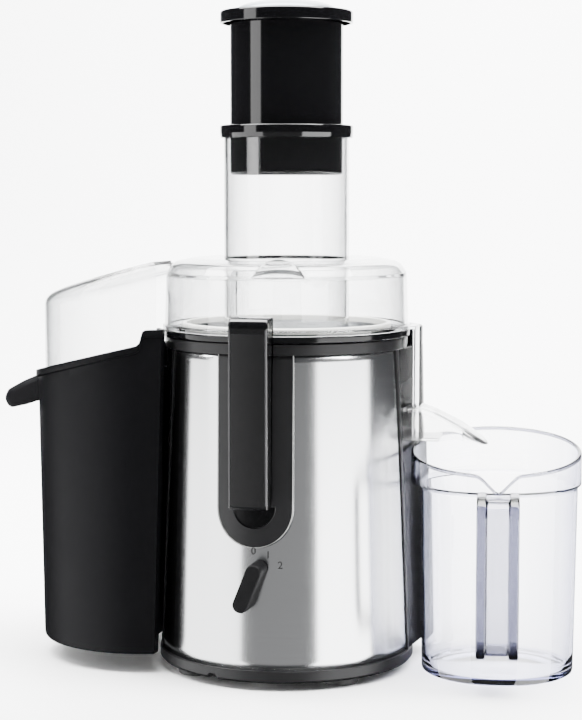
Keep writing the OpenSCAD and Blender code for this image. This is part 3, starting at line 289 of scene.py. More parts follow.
def at_height(plan, z):
    """Points (x, y) with a height, one for all or one each."""
    return np.concatenate([plan, np.broadcast_to(z, len(plan))[:, None]], -1)


def moulded(name, dark, rough, grain_mm, grain_depth, sheen=0.5):
    """Moulded plastic: an even colour, a faint cloud in its gloss and the tool's fine grain."""
    made, tree, surface = material(name)
    cloud = noise(tree, 14.0, 2.0)
    gloss = add(tree, "MapRange", Value=cloud, To_Min=rough * 0.85, To_Max=rough * 1.15)
    grain = noise(tree, 1000 / grain_mm, 2.0, Roughness=0.6)
    bump = add(tree, "Bump", Height=grain, Strength=grain_depth, Distance=0.0002)
    low, high = ((*(c * f for c in colour(dark)[:3]), 1) for f in (0.9, 1.1))
    tone = blend(tree, grain, low, high)
    principled(
        tree, surface, Base_Color=tone, Roughness=gloss.outputs["Result"],
        Normal=bump.outputs["Normal"], IOR=1.5, Specular_IOR_Level=sheen,
    )
    return made


def bottom_top(box):
    """The lowest and highest level of a box, in mm."""
    return [(corner * 1000).z for corner in box]


# ABS with a satin tool surface: dark grey, soft edges to its reflections
satin_grey_abs = moulded("satin_grey_abs", "#161617", 0.36, 0.35, 0.10, 0.15)
# Natural and synthetic rubber, moulded: black and matt
black_rubber = moulded("black_rubber", "#181818", 0.7, 0.6, 0.25)

ring_low, ring_high = (v * 1000 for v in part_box("base_ring"))
z0, z1 = ring_low.z, ring_high.z
ring_r = ring_high.x
profile = rounded(
    [(79, z0, 0), (ring_r - 1.6, z0, 1.2), (ring_r, z0 + 1.8, 1.2), (ring_r, z1, 0.5), (79, z1, 0)]
)
grid, wrap_u, wrap_v = turned(profile, n=360)
# the notch: the lower edge is drawn up; degrees left of the front, half width and depth in mm
NOTCH_AT, NOTCH = 19.5, 3.6
away = np.abs((np.arange(360) + NOTCH_AT + 180) % 360 - 180) * math.pi / 180 * ring_r
inside = np.clip((NOTCH - away) / 0.4, 0, 1)[:, None]
low = np.clip((z0 + NOTCH - grid[..., 2]) / NOTCH, 0, 1)
outer = np.clip(np.hypot(grid[..., 0], grid[..., 1]) - 80.5, 0, 1)
grid[..., 2] += inside * low * outer * NOTCH
solid("base_ring", [(grid, wrap_u, wrap_v)], satin_grey_abs)

feet = []
foot_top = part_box("rubber_feet")[1].z * 1000
FEET_R = 69
profile = rounded(
    [(0.01, 0, 0), (11.2, 0, 1.0), (12.3, foot_top, 0.3), (0.01, foot_top, 0)], steps=4
)
grid, wrap_u, wrap_v = turned(profile, n=48)
for t in np.radians((45, 135, 225, 315)):
    feet.append((grid + FEET_R * np.array([math.cos(t), math.sin(t), 0]), wrap_u, wrap_v))
solid("rubber_feet", feet, black_rubber)


# ---- Base plate, screws and motor ----
# Hidden behind the shell: a PP base plate with air slots held by four screws, and a
# universal motor between two die-cast brackets on rubber mounts. The CAD shapes stay.
def dress(finish, *nodes):
    """Gives CAD nodes a material; their shapes stay."""
    for name in nodes:
        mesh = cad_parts[name].data
        mesh.materials.clear()
        mesh.materials.append(finish)


def metal(name, tint, rough, grain=(1, 1, 1), grain_scale=900.0, depth=0.1):
    """Bare metal: tint is its mirror colour, and its grain runs the way it was worked."""
    made, tree, surface = material(name)
    worked = noise(tree, grain_scale, 3.0, grain)
    gloss = add(tree, "MapRange", Value=worked, To_Min=rough * 0.8, To_Max=rough * 1.25)
    bump = add(tree, "Bump", Height=worked, Strength=depth, Distance=0.0001)
    principled(
        tree, surface, Base_Color=colour(tint), Metallic=1.0,
        Roughness=gloss.outputs["Result"], Normal=bump.outputs["Normal"],
    )
    return made


# PP as moulded, with the fine spark grain of a bin: soft, even sheen
satin_black_pp = moulded("satin_black_pp", "#08080a", 0.46, 0.5, 0.22, 0.05)
# Plated steel, die-cast zinc, stacked steel sheets across the axis, enamelled copper wire
plated_steel = metal("plated_steel", "#c8c8c4", 0.28)
cast_zinc = metal("cast_zinc", "#a7a8a6", 0.5, depth=0.4)
stacked_laminations = metal("stacked_laminations", "#77797c", 0.45, (0.02, 0.02, 2.0), 1000.0, 0.6)
copper_winding = metal("copper_winding", "#b4622e", 0.35, (0.3, 0.3, 2.0), 700.0, 0.5)
machined_copper = metal("machined_copper", "#c67a4c", 0.25, (0.05, 0.05, 2.0))
# Phenolic moulding, baked carbon, white ABS
brown_phenolic = moulded("brown_phenolic", "#4a2c17", 0.4, 0.4, 0.15)
baked_carbon = moulded("baked_carbon", "#222224", 0.55, 0.3, 0.3)
white_abs = moulded("white_abs", "#dcdbd6", 0.3, 0.4, 0.06)
dress(
    satin_black_pp, "motor_deck", "base_plate", "interlock_switch", "interlock_pin",
    "drive_coupler", "bin_hanger",
)
dress(
    plated_steel, "base_screws", "motor_bolts", "latch_hinge_pin", "motor_shaft",
    "lower_bearing", "upper_bearing",
)
dress(cast_zinc, "motor_lower_bracket", "motor_upper_bracket")
dress(stacked_laminations, "motor_stator", "motor_armature")
dress(copper_winding, "field_coils")
dress(machined_copper, "commutator")
dress(brown_phenolic, "brush_holders")
dress(baked_carbon, "carbon_brushes")
dress(white_abs, "cooling_fan", "rotary_switch", "basket_base")
dress(black_rubber, "motor_mounts", "shaft_seal", "cord_gland")


# ---- Housing shell ----
# One black ABS moulding: round at the front where the steel lies on it, and squarer
# behind, where two corners widen it. Its skin is closed; its openings are in the CAD only.
glossy_black_abs = moulded("glossy_black_abs", "#060607", 0.08, 0.3, 0.02, 0.4)
# the same ABS from a less polished tool: deep black with little mirror
smooth_black_abs = moulded("smooth_black_abs", "#060607", 0.26, 0.3, 0.04, 0.07)
body_z0, body_z1 = bottom_top(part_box("steel_panel"))
BODY_TOP, BODY_BOTTOM = 79.6, 83.7
JUG_CORNER, BIN_CORNER, CORNER_R = np.array([50.0, 42.0]), np.array([-22.0, 42.0]), 34.0


def up_body(bottom, top, z):
    """A measure at height z that changes evenly from the body's bottom to its top."""
    return bottom + (top - bottom) * (z - body_z0) / (body_z1 - body_z0)


def body_radius(z):
    """The steel body is a cone that narrows upwards."""
    return up_body(BODY_BOTTOM, BODY_TOP, z)


def steel_left(z):
    """Where the steel ends on the left, as a distance across the front."""
    return up_body(-76.6, -61.0, z)


def steel_right(z):
    """Where the steel ends on the right, as a distance from front to back."""
    return up_body(-5.0, -18.4, z)


def steel_end(side, z):
    """The azimuth of a side edge of the steel, counted from straight front to its side."""
    if side < 0:
        return np.arcsin(-steel_left(z) / body_radius(z))
    return np.pi - np.arccos(steel_right(z) / body_radius(z))


def housing_outline(z, inset, n=240):
    """Outline of the shell at height z: the tight loop around three circles, found by its
    outward direction, with its points spread evenly along it."""
    corner_r = CORNER_R + body_radius(z) - BODY_TOP
    circles = [(np.zeros(2), body_radius(z)), (JUG_CORNER, corner_r), (BIN_CORNER, corner_r)]
    t = np.linspace(-math.pi, math.pi, 2001)[:-1]
    normal = np.stack([np.cos(t), np.sin(t)], -1)
    best = np.stack([normal @ c + r for c, r in circles]).argmax(0)
    loop = np.stack([c + r * normal for c, r in circles])[best, np.arange(len(t))]
    loop = loop - normal * inset
    step = np.linalg.norm(np.roll(loop, -1, 0) - loop, axis=1)
    along = np.concatenate([[0], np.cumsum(step)])
    closed_loop = np.concatenate([loop, loop[:1]])
    want = np.linspace(0, along[-1], n + 1)[:-1]
    return np.stack([np.interp(want, along, closed_loop[:, k]) for k in (0, 1)], -1)


def shell_rows(heights, insets, n=360):
    """Stacks outlines; under the steel and its beads the shell lies 1 mm deeper."""
    rows = []
    for z, inset in zip(heights, insets):
        loop = housing_outline(z, inset, n)
        under = (loop[:, 0] > steel_left(z) - 4.6) & (loop[:, 1] < steel_right(z) + 4.6)
        under &= ~((loop[:, 0] < 0) & (loop[:, 1] > 0))
        length = np.linalg.norm(loop, axis=1, keepdims=True)
        loop = np.where(under[:, None], loop * (1 - 1.0 / length), loop)
        rows.append(at_height(loop, z))
    return np.stack(rows, 1)


wall_heights = np.linspace(body_z0 + 1.2, body_z1 - 1.6, 40).tolist()
heights = [
    body_z0, body_z0, body_z0 + 0.3, *wall_heights, body_z1 - 0.5, body_z1, body_z1, body_z1 - 4
]
insets = [4.0, 0.6, 0.1] + [0] * 40 + [0.1, 0.6, 3.8, 4.0]
grid = shell_rows(heights, insets)
solid(
    "housing_shell", [(grid, True, True)], smooth_black_abs, also=["housing_crown"]
)

# the raised corner: the outline's rear right part carried up to the bowl's rim
rim_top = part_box("juice_bowl")[1].z * 1000
loop = housing_outline(body_z1, 0.2, 480)
out_of_rim = np.linalg.norm(loop, axis=1) > 83.6
pick = loop[out_of_rim & (loop[:, 0] > 30)]
from_corner = pick - JUG_CORNER
pick = pick[np.argsort(np.arctan2(from_corner[:, 1], from_corner[:, 0]))]
SPOUT_TURN = math.radians(5)
pick = pick[pick @ np.array([-math.sin(SPOUT_TURN), math.cos(SPOUT_TURN)]) > 19]
radius = np.linalg.norm(pick, axis=1, keepdims=True)
inner = pick / radius * 83.3  # just outside the bowl's rim
levels = [(body_z1 - 3, 0.0), (rim_top - 1.0, 0.0), (rim_top - 0.3, 0.3), (rim_top, 1.0)]
outer_wall = [at_height(pick * (1 - d / radius), z) for z, d in levels]
inner_wall = [at_height(inner, z) for z in (rim_top, body_z1 - 3)]
grid = np.stack(outer_wall + inner_wall, 1)
solid("housing_corner", [(grid, False, True)], smooth_black_abs, fill=True)


# ---- Steel front ----
# A stainless steel sheet, 0.8 mm thick, rolled to the cone of the body and brushed
# around it. Its side edges slant outwards and it is cut out for the latch's U panel.
# fine level scratches in gloss and bump, and a highlight drawn out up and down
steel, tree, surface = material("brushed_stainless_steel")
scratches = noise(tree, 22.0, 6.0, (1, 1, 160), Roughness=0.75)
gloss = add(
    tree, "MapRange", Value=scratches, From_Min=0.3, From_Max=0.7, To_Min=0.16, To_Max=0.26
)
tone = blend(tree, scratches, colour("#b9babb"), colour("#d6d7d8"))
bump = add(tree, "Bump", Height=scratches, Strength=0.12, Distance=0.00005)
tangent = add(tree, "Tangent", {"direction_type": "RADIAL", "axis": "Z"})
principled(
    tree, surface, Base_Color=tone, Metallic=1.0, Roughness=gloss.outputs["Result"],
    Normal=bump.outputs["Normal"], Anisotropic=0.7, Anisotropic_Rotation=0.25,
    Tangent=tangent.outputs["Tangent"],
)
U_BOTTOM, U_HALF = bottom_top(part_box("latch_recess"))[0], 24.5
U_CENTRE = U_BOTTOM + U_HALF


def u_half(z, grow=0.0):
    """Half width of the U at height z: straight above its centre, round below it."""
    drop = np.maximum(U_CENTRE - z, 0)
    return np.sqrt(np.maximum((U_HALF + grow) ** 2 - drop**2, 0)) * (z > U_BOTTOM - grow - 1e-6)


def on_body(x, z, lift=0.0):
    """A point of the body's cone at height z: across is x."""
    r = body_radius(z) + lift
    return np.stack([x, -np.sqrt(np.maximum(r**2 - x**2, 0)), z], -1)


def around_body(t, z, lift=0.0):
    """A point of the body's cone at azimuth t from straight front."""
    r = body_radius(z) + lift
    return np.stack([r * np.sin(t), -r * np.cos(t), z], -1)


def steel_grid(side):
    """One side of the sheet, from the U's edge (or the middle, below the U) to the side edge;
    its first way runs to the right."""
    fan = U_CENTRE - np.cos(np.linspace(0, math.pi / 2, 22)) * (U_HALF + 0.1)
    below = np.linspace(body_z0 + 0.05, U_BOTTOM - 0.6, 14)
    z = np.concatenate([below, fan, np.linspace(U_CENTRE + 2, body_z1, 22)])
    start = np.arcsin(u_half(z, 0.1) / body_radius(z))
    end = steel_end(side, z)
    s = np.linspace(0, 1, 60)[:, None]
    t = side * (start[None] * (1 - s) + end[None] * s)
    return around_body(t[::side], np.broadcast_to(z, t.shape))


sheets = [(steel_grid(side), False, False) for side in (-1, 1)]
solid("steel_panel", sheets, steel, thick=0.75)

# Beads: a dark grey strip pressed along each side edge, with a fine gap beside the steel
strips = []
bead_z = np.linspace(body_z0, body_z1, 50)
across = rounded([(0.35, -0.7, 0), (0.35, 0.9, 0.35), (4.4, 0.9, 0.5), (4.4, -0.7, 0)], steps=4)
for side in (-1, 1):
    edge = steel_end(side, bead_z)
    t = side * (edge[:, None] + across[None, :, 0] * 1.12 / body_radius(bead_z)[:, None])
    lift = np.broadcast_to(across[None, :, 1], t.shape)
    zz = np.broadcast_to(bead_z[:, None], t.shape)
    strips.append((around_body(t, zz, lift), False, True))
solid("panel_beads", strips, satin_grey_abs, fill=True)


# ---- Top rings ----
# Two ABS crescents close the body under the bowl: satin dark grey in front, deep black
# behind, with a fine seam between them on the right.
ring_z0, ring_z1 = body_z1 + 0.1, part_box("top_ring")[1].z * 1000 - 0.3
profile = rounded(
    [(76, ring_z0, 0), (80.6, ring_z0, 0.4), (81.0, ring_z1, 0.5), (76, ring_z1, 0)], steps=4
)
solid("top_ring", [turned(profile, -102.5, 186, 200)], satin_grey_abs, fill=True)
solid("rear_ring", [turned(profile, 84.1, 172.8, 180)], smooth_black_abs, fill=True)


# ---- Latch panel, pocket and lever ----
# A U-shaped ABS panel lies in the steel's cut-out and carries the latch. The lever is
# a glossy ABS moulding hinged low down, with a grained grip let into its front.
lever_low, lever_high = (v * 1000 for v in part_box("latch_lever"))
LEVER_END = lever_low.z + 0.9
POCKET_R = 14.0
POCKET_Z = LEVER_END - 0.9


def panel_patch(z, inner, outer, columns=24):
    """The U panel's skin between two lines across the front; its first way runs to the right."""
    s = np.linspace(0, 1, columns)[:, None]
    x = inner[None] * (1 - s) + outer[None] * s
    return on_body(x, np.broadcast_to(z, x.shape), 0.15), False, False


z_up = np.linspace(POCKET_Z, body_z1 - 0.2, 40)
z_low = U_CENTRE - np.cos(np.linspace(0, math.pi / 2, 26)) * U_HALF
z_pocket = POCKET_Z - np.sin(np.linspace(0, math.pi / 2, 20)) * POCKET_R
z_low = np.unique(np.concatenate([z_low, z_pocket]))
z_low = z_low[z_low <= POCKET_Z + 1e-6]
hole = np.sqrt(np.maximum(POCKET_R**2 - (POCKET_Z - z_low) ** 2, 0))
z_side = np.concatenate([z_low, z_up[1:]])
hole_side = np.concatenate([hole, np.full(39, POCKET_R)])
middle = np.full(40, POCKET_R)
patches = [
    panel_patch(z_side, -u_half(z_side), -hole_side),
    panel_patch(z_up, -middle, middle, 20),
    panel_patch(z_side, hole_side, u_half(z_side)),
]
solid("latch_recess", patches, satin_grey_abs, thick=1.2)

# The steel's cut edge shows as a thin dull line around the U
arc = np.linspace(0, math.pi, 60)[1:-1]
down, bend = np.linspace(body_z1, U_CENTRE, 30), U_CENTRE - U_HALF * np.sin(arc)
out_x = np.concatenate([np.full(30, 1.0), np.cos(arc), np.full(30, -1.0)])
out_z = np.concatenate([np.zeros(30), -np.sin(arc), np.zeros(30)])
line_x = U_HALF * out_x
line_z = np.concatenate([down, bend, np.linspace(U_CENTRE, body_z1, 30)])
turns = np.linspace(0, 2 * math.pi, 8, endpoint=False)
EDGE_R = 0.28
lx = line_x[:, None] + out_x[:, None] * EDGE_R * np.cos(turns)[None]
lz = line_z[:, None] + out_z[:, None] * EDGE_R * np.cos(turns)[None]
grid = on_body(lx, lz, 0.0)
grid[..., 1] -= EDGE_R * np.sin(turns)[None] + 0.1
solid("steel_cut_edge", [(grid, False, True)], cast_zinc, fill=True)

# Pocket: a half round hollow with a polished bottom, dished like a spoon
s = np.linspace(1, 0.001, 24)[:, None]
t = np.radians(np.linspace(180, 360, 60))[None, :]
px, pz = POCKET_R * s * np.cos(t), POCKET_Z + POCKET_R * s * np.sin(t)
skin = on_body(px, pz, 0.1)
skin[..., 1] += 7.5 * np.maximum(1 - s**2, 0) ** 0.75
solid("hinge_pocket", [(skin[::-1], False, False)], glossy_black_abs, thick=1.0)


def carried(outline, x0, x1, round_off=0.0, steps=5):
    """A side outline (y, z) carried across from x0 to x1, its rims rounded by moving the
    outline inwards along its own normals."""
    following, before = np.roll(outline, -1, 0), np.roll(outline, 1, 0)
    along = following - before
    normal = np.stack([along[:, 1], -along[:, 0]], -1)
    normal /= np.maximum(np.linalg.norm(normal, axis=1, keepdims=True), 1e-9)
    if np.sum(outline[:, 0] * following[:, 1] - following[:, 0] * outline[:, 1]) < 0:
        normal = -normal
    rows = []
    a = np.linspace(0, math.pi / 2, steps + 1)
    for x, way in ((x0, 1), (x1, -1)):
        part = [(x + way * round_off * (1 - math.sin(v)), round_off * (1 - math.cos(v))) for v in a]
        part = part[::-1] if way > 0 else part
        rows += part
    grid = [np.stack([np.full(len(outline), x), *(outline - normal * d).T], -1) for x, d in rows]
    return np.stack(grid, 0)


front_y, back_y = lever_low.y, -82.15
flange_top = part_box("lid_cover")[0].z * 1000 + 3.0
lever_top = lever_high.z
outline = rounded(
    [
        (front_y, lever_low.z, 1.6), (front_y, lever_top, 6.2), (-79.8, lever_top, 1.2),
        (-79.8, flange_top + 0.5, 0.3), (-83.6, flange_top + 0.5, 0.3), (-83.6, 213, 0.3),
        (back_y, 211, 0.3), (back_y, lever_low.z + 5.6, 3.0), (-86.6, lever_low.z, 0.8),
    ],
    steps=7,
)
half = lever_high.x
skin = carried(outline, -half, half, 1.3)
solid(
    "latch_lever", [(skin, False, True)], glossy_black_abs, body="latch", fill=True
)

# Grained grip: a flat plate with fine spark grain, sunk between two polished edges
grained_black_abs = moulded("grained_black_abs", "#0f0f10", 0.5, 0.7, 0.5, 0.16)
grip_z0, grip_z1 = bottom_top(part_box("latch_grip"))
grip_z0, grip_z1 = grip_z0 + 0.2, min(grip_z1, 228.4)
face, back = front_y - 0.02, front_y + 0.9
plate = rounded(
    [(face, grip_z0, 1.5), (face, grip_z1, 1.0), (back, grip_z1, 0), (back, grip_z0, 0)], steps=3
)
skin = carried(plate, -half + 1.6, half - 1.6, 0.35, 3)
solid(
    "latch_grip", [(skin, False, True)], grained_black_abs,
    body="latch", fill=True,
)
# polished bevels along both sides of the grip, coloured grey as a painted highlight along each edge
# of the black lever
bevel_highlight_finish = moulded("painted_highlight_abs", "#2e2e30", 0.2, 0.3, 0.02, 0.3)
rails = []
for side in (-1, 1):
    xs = side * np.array([half - 1.5, half - 0.7])
    face, back, low, high = front_y - 0.12, front_y + 0.5, LEVER_END + 2, lever_top - 7.5
    rail = rounded([(face, low, 0.5), (face, high, 0.5), (back, high, 0), (back, low, 0)], steps=3)
    rails.append((carried(rail, min(xs), max(xs), 0.25, 3), False, True))
solid("latch_rails", rails, bevel_highlight_finish, body="latch", fill=True)


# ---- Speed knob and its numbers ----
# A plain bar knob of satin grey ABS on the switch's shaft, turned to 1; 0, 1 and 2 are
# printed around it, the 0 on the U panel and the others on the steel.
KNOB_Z, KNOB_TURN = 68.0, math.radians(22)
KNOB_END_R, KNOB_LENGTH, KNOB_BACK = 5.2, 33.0, 83.0
along = np.linspace(0, 2 * math.pi, 96, endpoint=False)
reach = KNOB_LENGTH / 2 - KNOB_END_R
middle = np.where(np.sin(along) >= 0, reach, -reach)
rows = []
# across the knob's side: (depth from its back, how far the outline is moved out)
for depth, grow in (
    (0.0, -1.0), (0.0, -0.02), (0.4, 0.15), (12.0, 0.1),
    (15.6, -0.15), (16.1, -0.35), (16.45, -0.8), (16.5, -1.5),
):
    r, y = KNOB_END_R + grow, np.full(96, -(KNOB_BACK + depth))
    rows.append(np.stack([r * np.cos(along), y, middle + r * np.sin(along)], -1))
grid = np.stack(rows, 0)
c, s = math.cos(KNOB_TURN), math.sin(KNOB_TURN)
spin = np.array([[c, 0, s], [0, 1, 0], [-s, 0, c]])
grid = grid @ spin.T
grid[..., 2] += KNOB_Z
knob_grey_abs = moulded("knob_grey_abs", "#0f0f10", 0.45, 0.35, 0.10, 0.06)
solid("speed_knob", [(grid, False, True)], knob_grey_abs, body="knob", fill=True)

ink, tree, surface = material("black_ink")
tone = blend(tree, noise(tree, 900.0, 2.0), colour("#161616"), colour("#242424"))
principled(tree, surface, Base_Color=tone, Roughness=0.5)
DIAL_R = 21.2
for digit, dial in (("0", 0.0), ("1", 26.5), ("2", 54.0)):
    text = bpy.data.curves.new("digit_" + digit, "FONT")
    text.body, text.size, text.offset = digit, 6.6, 0.08
    text.align_x, text.align_y = "CENTER", "CENTER"
    shape = new_object("digit_shape_" + digit, text)
    flat = bpy.data.meshes.new_from_object(shape)
    bpy.data.objects.remove(shape)
    co = np.zeros(len(flat.vertices) * 3)
    flat.vertices.foreach_get("co", co)
    co = co.reshape(-1, 3)
    t = math.radians(dial)
    x = co[:, 0] + DIAL_R * math.sin(t)
    z = co[:, 1] + KNOB_Z + DIAL_R * math.cos(t)
    lift = 0.35 if digit == "0" else 0.06
    flat.vertices.foreach_set("co", (on_body(x, z, lift) / 1000).ravel())
    flat.materials.append(ink)
    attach(new_object("dial_" + digit, flat), "base_unit")


# ---- Juice bowl and seal ----
# A glossy black ABS bowl drops into the body and rests on it with its rim. Its skin is
# turned whole; the outlet to the spout is in the CAD only.
b0, rim = bottom_top(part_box("juice_bowl"))
profile = rounded(
    [
        (12.6, b0, 0), (68, b0, 2), (75, rim - 4.2, 0.3), (82.4, rim - 4.2, 0.8),
        (82.5, rim - 0.1, 0.6), (72.9, rim - 0.1, 0.6), (65.9, b0 + 2.5, 3), (15, b0 + 2.5, 2),
        (15, 174.9, 0.6), (12.6, 174.9, 0.3),
    ]
)
bowl_black_abs = moulded("bowl_black_abs", "#060607", 0.10, 0.3, 0.02, 0.18)
solid("juice_bowl", [turned(profile, n=240)], bowl_black_abs)


# ---- Filter basket ----
# A perforated stainless cone between a white ABS rim and base, over a pressed grater
# disc; it spins at motor speed and throws the juice out through its holes.
perforated_steel, tree, surface = material("perforated_stainless")
pores = add(
    tree, "TexVoronoi", Vector=object_place(tree), Scale=700.0, Randomness=0.3
).outputs["Distance"]
holes = add(tree, "Math", {"operation": "LESS_THAN"}, i0=pores, i1=0.28).outputs[0]
tone = blend(tree, holes, colour("#8c8e90"), colour("#141516"))
bump = add(tree, "Bump", {"invert": True}, Height=holes, Strength=0.4, Distance=0.0003)
principled(
    tree, surface, Base_Color=tone, Metallic=1.0, Roughness=0.3, Normal=bump.outputs["Normal"]
)
h0, h1 = bottom_top(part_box("filter_basket"))
profile = rounded([(46.4, h0, 0), (47, h0, 0), (67.2, h1, 0), (66.6, h1, 0)])
solid("filter_basket", [turned(profile)], perforated_steel, body="rotor")
h0, h1 = bottom_top(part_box("basket_rim"))
profile = rounded([(66.6, h0, 0.3), (69.6, h0, 0.8), (69.7, h1, 1.2), (66.6, h1, 0.8)])
solid("basket_rim", [turned(profile)], white_abs, body="rotor")
dress(plated_steel, "grater_disc")


# ---- Clear lid, feed tube and hood ----
# SAN mouldings welded to each other: a lid with a flange and a rounded shoulder, a
# tall round feed tube, and a hood that slopes down over the pulp bin.
def clear_plastic(name, edge, rough=0.02, body="#b4b8ba", density=25.0):
    """Clear SAN: refracts as plastic does, takes its edge tint where it is seen edge on, takes up
    light on its way through by its body colour, and lets lamps through to what is inside."""
    made, tree, surface = material(name)
    bump = add(tree, "Bump", Height=noise(tree, 26.0, 1.0), Strength=0.06, Distance=0.002)
    slant = add(tree, "LayerWeight", Blend=0.3)
    tint = blend(tree, slant.outputs["Facing"], colour("#ffffff"), colour(edge))
    shade = principled(
        tree, Base_Color=tint, Roughness=rough, IOR=1.5, Transmission_Weight=1.0,
        Normal=bump.outputs["Normal"],
    )
    through = add(tree, "BsdfTransparent", Color=colour("#ffffff"))
    path = add(tree, "LightPath")
    mix = add(
        tree, "MixShader",
        i0=path.outputs["Is Shadow Ray"], i1=shade, i2=through.outputs[0],
    )
    tree.links.new(mix.outputs[0], surface)
    deep = add(tree, "VolumeAbsorption", Color=colour(body), Density=density)
    tree.links.new(deep.outputs[0], surface.node.inputs["Volume"])
    return made


clear_san = clear_plastic("clear_san", "#5c6266")
f0 = bottom_top(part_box("lid_cover"))[0]
f1 = f0 + 3.0
shoulder_z, lid_top = f1 + 33.6, f1 + 44.1
LID_R, LID_TOP_R = 81.1, 79.9
# the wall ends in a fine edge, over which the top rises in a low dome
profile = rounded(
    [
        (78.7, f0, 0.4), (82.5, f0, 0.6), (82.5, f1, 0.8), (LID_R, f1, 0.6),
        (LID_TOP_R, shoulder_z + 0.8, 1.4), (LID_TOP_R - 5.0, lid_top - 2.6, 9.0),
        (LID_TOP_R - 18, lid_top - 0.1, 30), (41.7, lid_top - 0.1, 0.8), (41.7, lid_top - 2.4, 0.2),
        (LID_TOP_R - 18.4, lid_top - 2.4, 28),
        (LID_TOP_R - 6.6, lid_top - 5.0, 7.0), (LID_TOP_R - 2.3, shoulder_z - 1.6, 2.6),
    ],
    steps=9,
)
solid("lid_cover", [turned(profile, n=240)], clear_san)

t0, t1 = bottom_top(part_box("feed_tube"))
profile = rounded(
    [(39.3, t0, 0.6), (41.6, t0, 0.6), (41.6, t1, 0.2), (39.3, t1, 0.2)], steps=4
)
solid("feed_tube", [turned(profile, n=180)], clear_san)

# arch: a half round tab on the lid's shoulder, for lifting it; it follows the wall's curve
ARCH_R = 17.4
a = np.radians(np.linspace(-12, 192, 60))
arch_z = shoulder_z + 12 - 17.6
tab = np.stack([ARCH_R * np.cos(a), ARCH_R * np.sin(a)], -1)
tab = tab[tab[:, 1] > 5.0]
# through its thickness: (depth under the wall's face, how far the outline is drawn in)
skin = np.array([(0, 0.8), (0.25, 0.2), (0.7, 0), (1.7, 0), (2.15, 0.2), (2.4, 0.8)])
spot = tab[None] * (1 - skin[:, 1] / ARCH_R)[:, None, None]
tab_r = LID_TOP_R - 0.1 - skin[:, :1]
grid = np.stack([spot[..., 0], -np.sqrt(tab_r**2 - spot[..., 0] ** 2), spot[..., 1] + arch_z], -1)
grid = about_z(grid, math.radians(11))
solid("lid_arch", [(grid, False, True)], clear_san, fill=True)

# hood: walls on the bin's plan, a rounded shoulder and a sloping roof up to the lid; it and
# the bin are drawn straight left, then turned a little to the back
BIN_TURN = math.radians(-5)
BIN_C = 101.4
HOOD_R, HOOD_EDGE = 69.8, 68.2
SLOPE = math.tan(math.radians(13.4))
span = math.acos((BIN_C - HOOD_EDGE) / HOOD_R)
t = np.linspace(span, 2 * math.pi - span, 120)
edge = np.stack([-BIN_C + HOOD_R * np.cos(t), HOOD_R * np.sin(t)], -1)
hood_top = lid_top - 4.9


def roof(x):
    """Height of the roof above a point: it falls away from the lid."""
    return hood_top + SLOPE * (x + LID_R)


def hood_rows(drop):
    """From the skirt up the wall, over a 9 mm shoulder and along the roof to the lid; drop is
    the depth under the outer skin."""
    shoulder = 9.0
    outward = (edge - np.array([-BIN_C, 0.0])) / HOOD_R
    skirt = 213 + SLOPE * (edge[:, 0] + 63) + 0.1
    near = np.linalg.norm(edge, axis=1) < 90.0
    skirt = np.where(near, np.maximum(skirt, 228.0), skirt)
    rows = []
    wall = edge - outward * drop
    top = roof(edge[:, 0]) - shoulder
    for s in np.linspace(0, 1, 12):
        rows.append(at_height(wall, skirt * (1 - s) + top * s))
    for a in np.linspace(0, math.pi / 2, 9)[1:]:
        r = shoulder - drop
        spot = edge - outward * (shoulder - r * math.cos(a))
        rows.append(at_height(spot, top + r * math.sin(a)))
    # the roof ends on the lid's wall in the middle, and beside it on a straight line
    last = edge - outward * shoulder
    y_in = np.clip(last[:, 1], -34.5, 34.5)
    join = np.stack([-np.sqrt(LID_TOP_R**2 - y_in**2), y_in], -1)
    beside = np.stack([np.full(len(last), -HOOD_EDGE - 0.4), np.clip(last[:, 1], -60, 60)], -1)
    join = np.where((np.abs(last[:, 1]) > 34.5)[:, None], beside, join)
    for s in np.linspace(0, 1, 16)[1:]:
        spot = last * (1 - s) + join * s
        z = roof(spot[:, 0]) - drop
        base = roof(edge[:, 0]) - drop
        f = min(1, s * 4)
        rows.append(at_height(spot, base * (1 - f) + z * f))
    return np.stack(rows, 1)


outer_skin, inner_skin = hood_rows(0.0), hood_rows(2.3)
grid = np.concatenate([outer_skin, inner_skin[:, ::-1]], 1)
# moulded with a faint bloom, so it is a little cloudy
cloudy_san = clear_plastic("cloudy_san", "#7e8387", 0.09)
solid(
    "pulp_hood", [(about_z(grid, BIN_TURN), False, True)], cloudy_san, fill=True, sharp=40
)


# ---- Collar and pusher ----
# A glossy black ABS collar is pressed over the tube's mouth. The pusher is a hollow ABS
# cup with a wide rim and a pale lacquered cap pressed into its top.
c0, c1 = bottom_top(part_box("tube_collar"))
profile = rounded(
    [
        (41.8, c0, 0.2), (43.6, c0, 0.6), (44.1, c0 + 3.2, 0.4), (44.1, c1, 1.0),
        (37.8, c1, 1.0), (37.8, c0 + 3.1, 0.3), (41.8, c0 + 3.1, 0),
    ]
)
solid("tube_collar", [turned(profile)], glossy_black_abs)

p0, p1 = bottom_top(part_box("pusher_body"))
u0 = p1 - 8.0
profile = rounded(
    [
        (0.01, p0, 0), (37.3, p0, 2.2), (37.3, u0 + 5.5, 0.5), (42, u0 + 5.5, 0.5), (42.2, u0, 0.3),
        (43.9, u0, 0.6), (43.9, p1, 1.4), (35.6, p1, 0.6), (35.4, p0 + 2, 2), (0.01, p0 + 2, 0),
    ]
)
solid("pusher_body", [turned(profile)], glossy_black_abs, body="pusher")

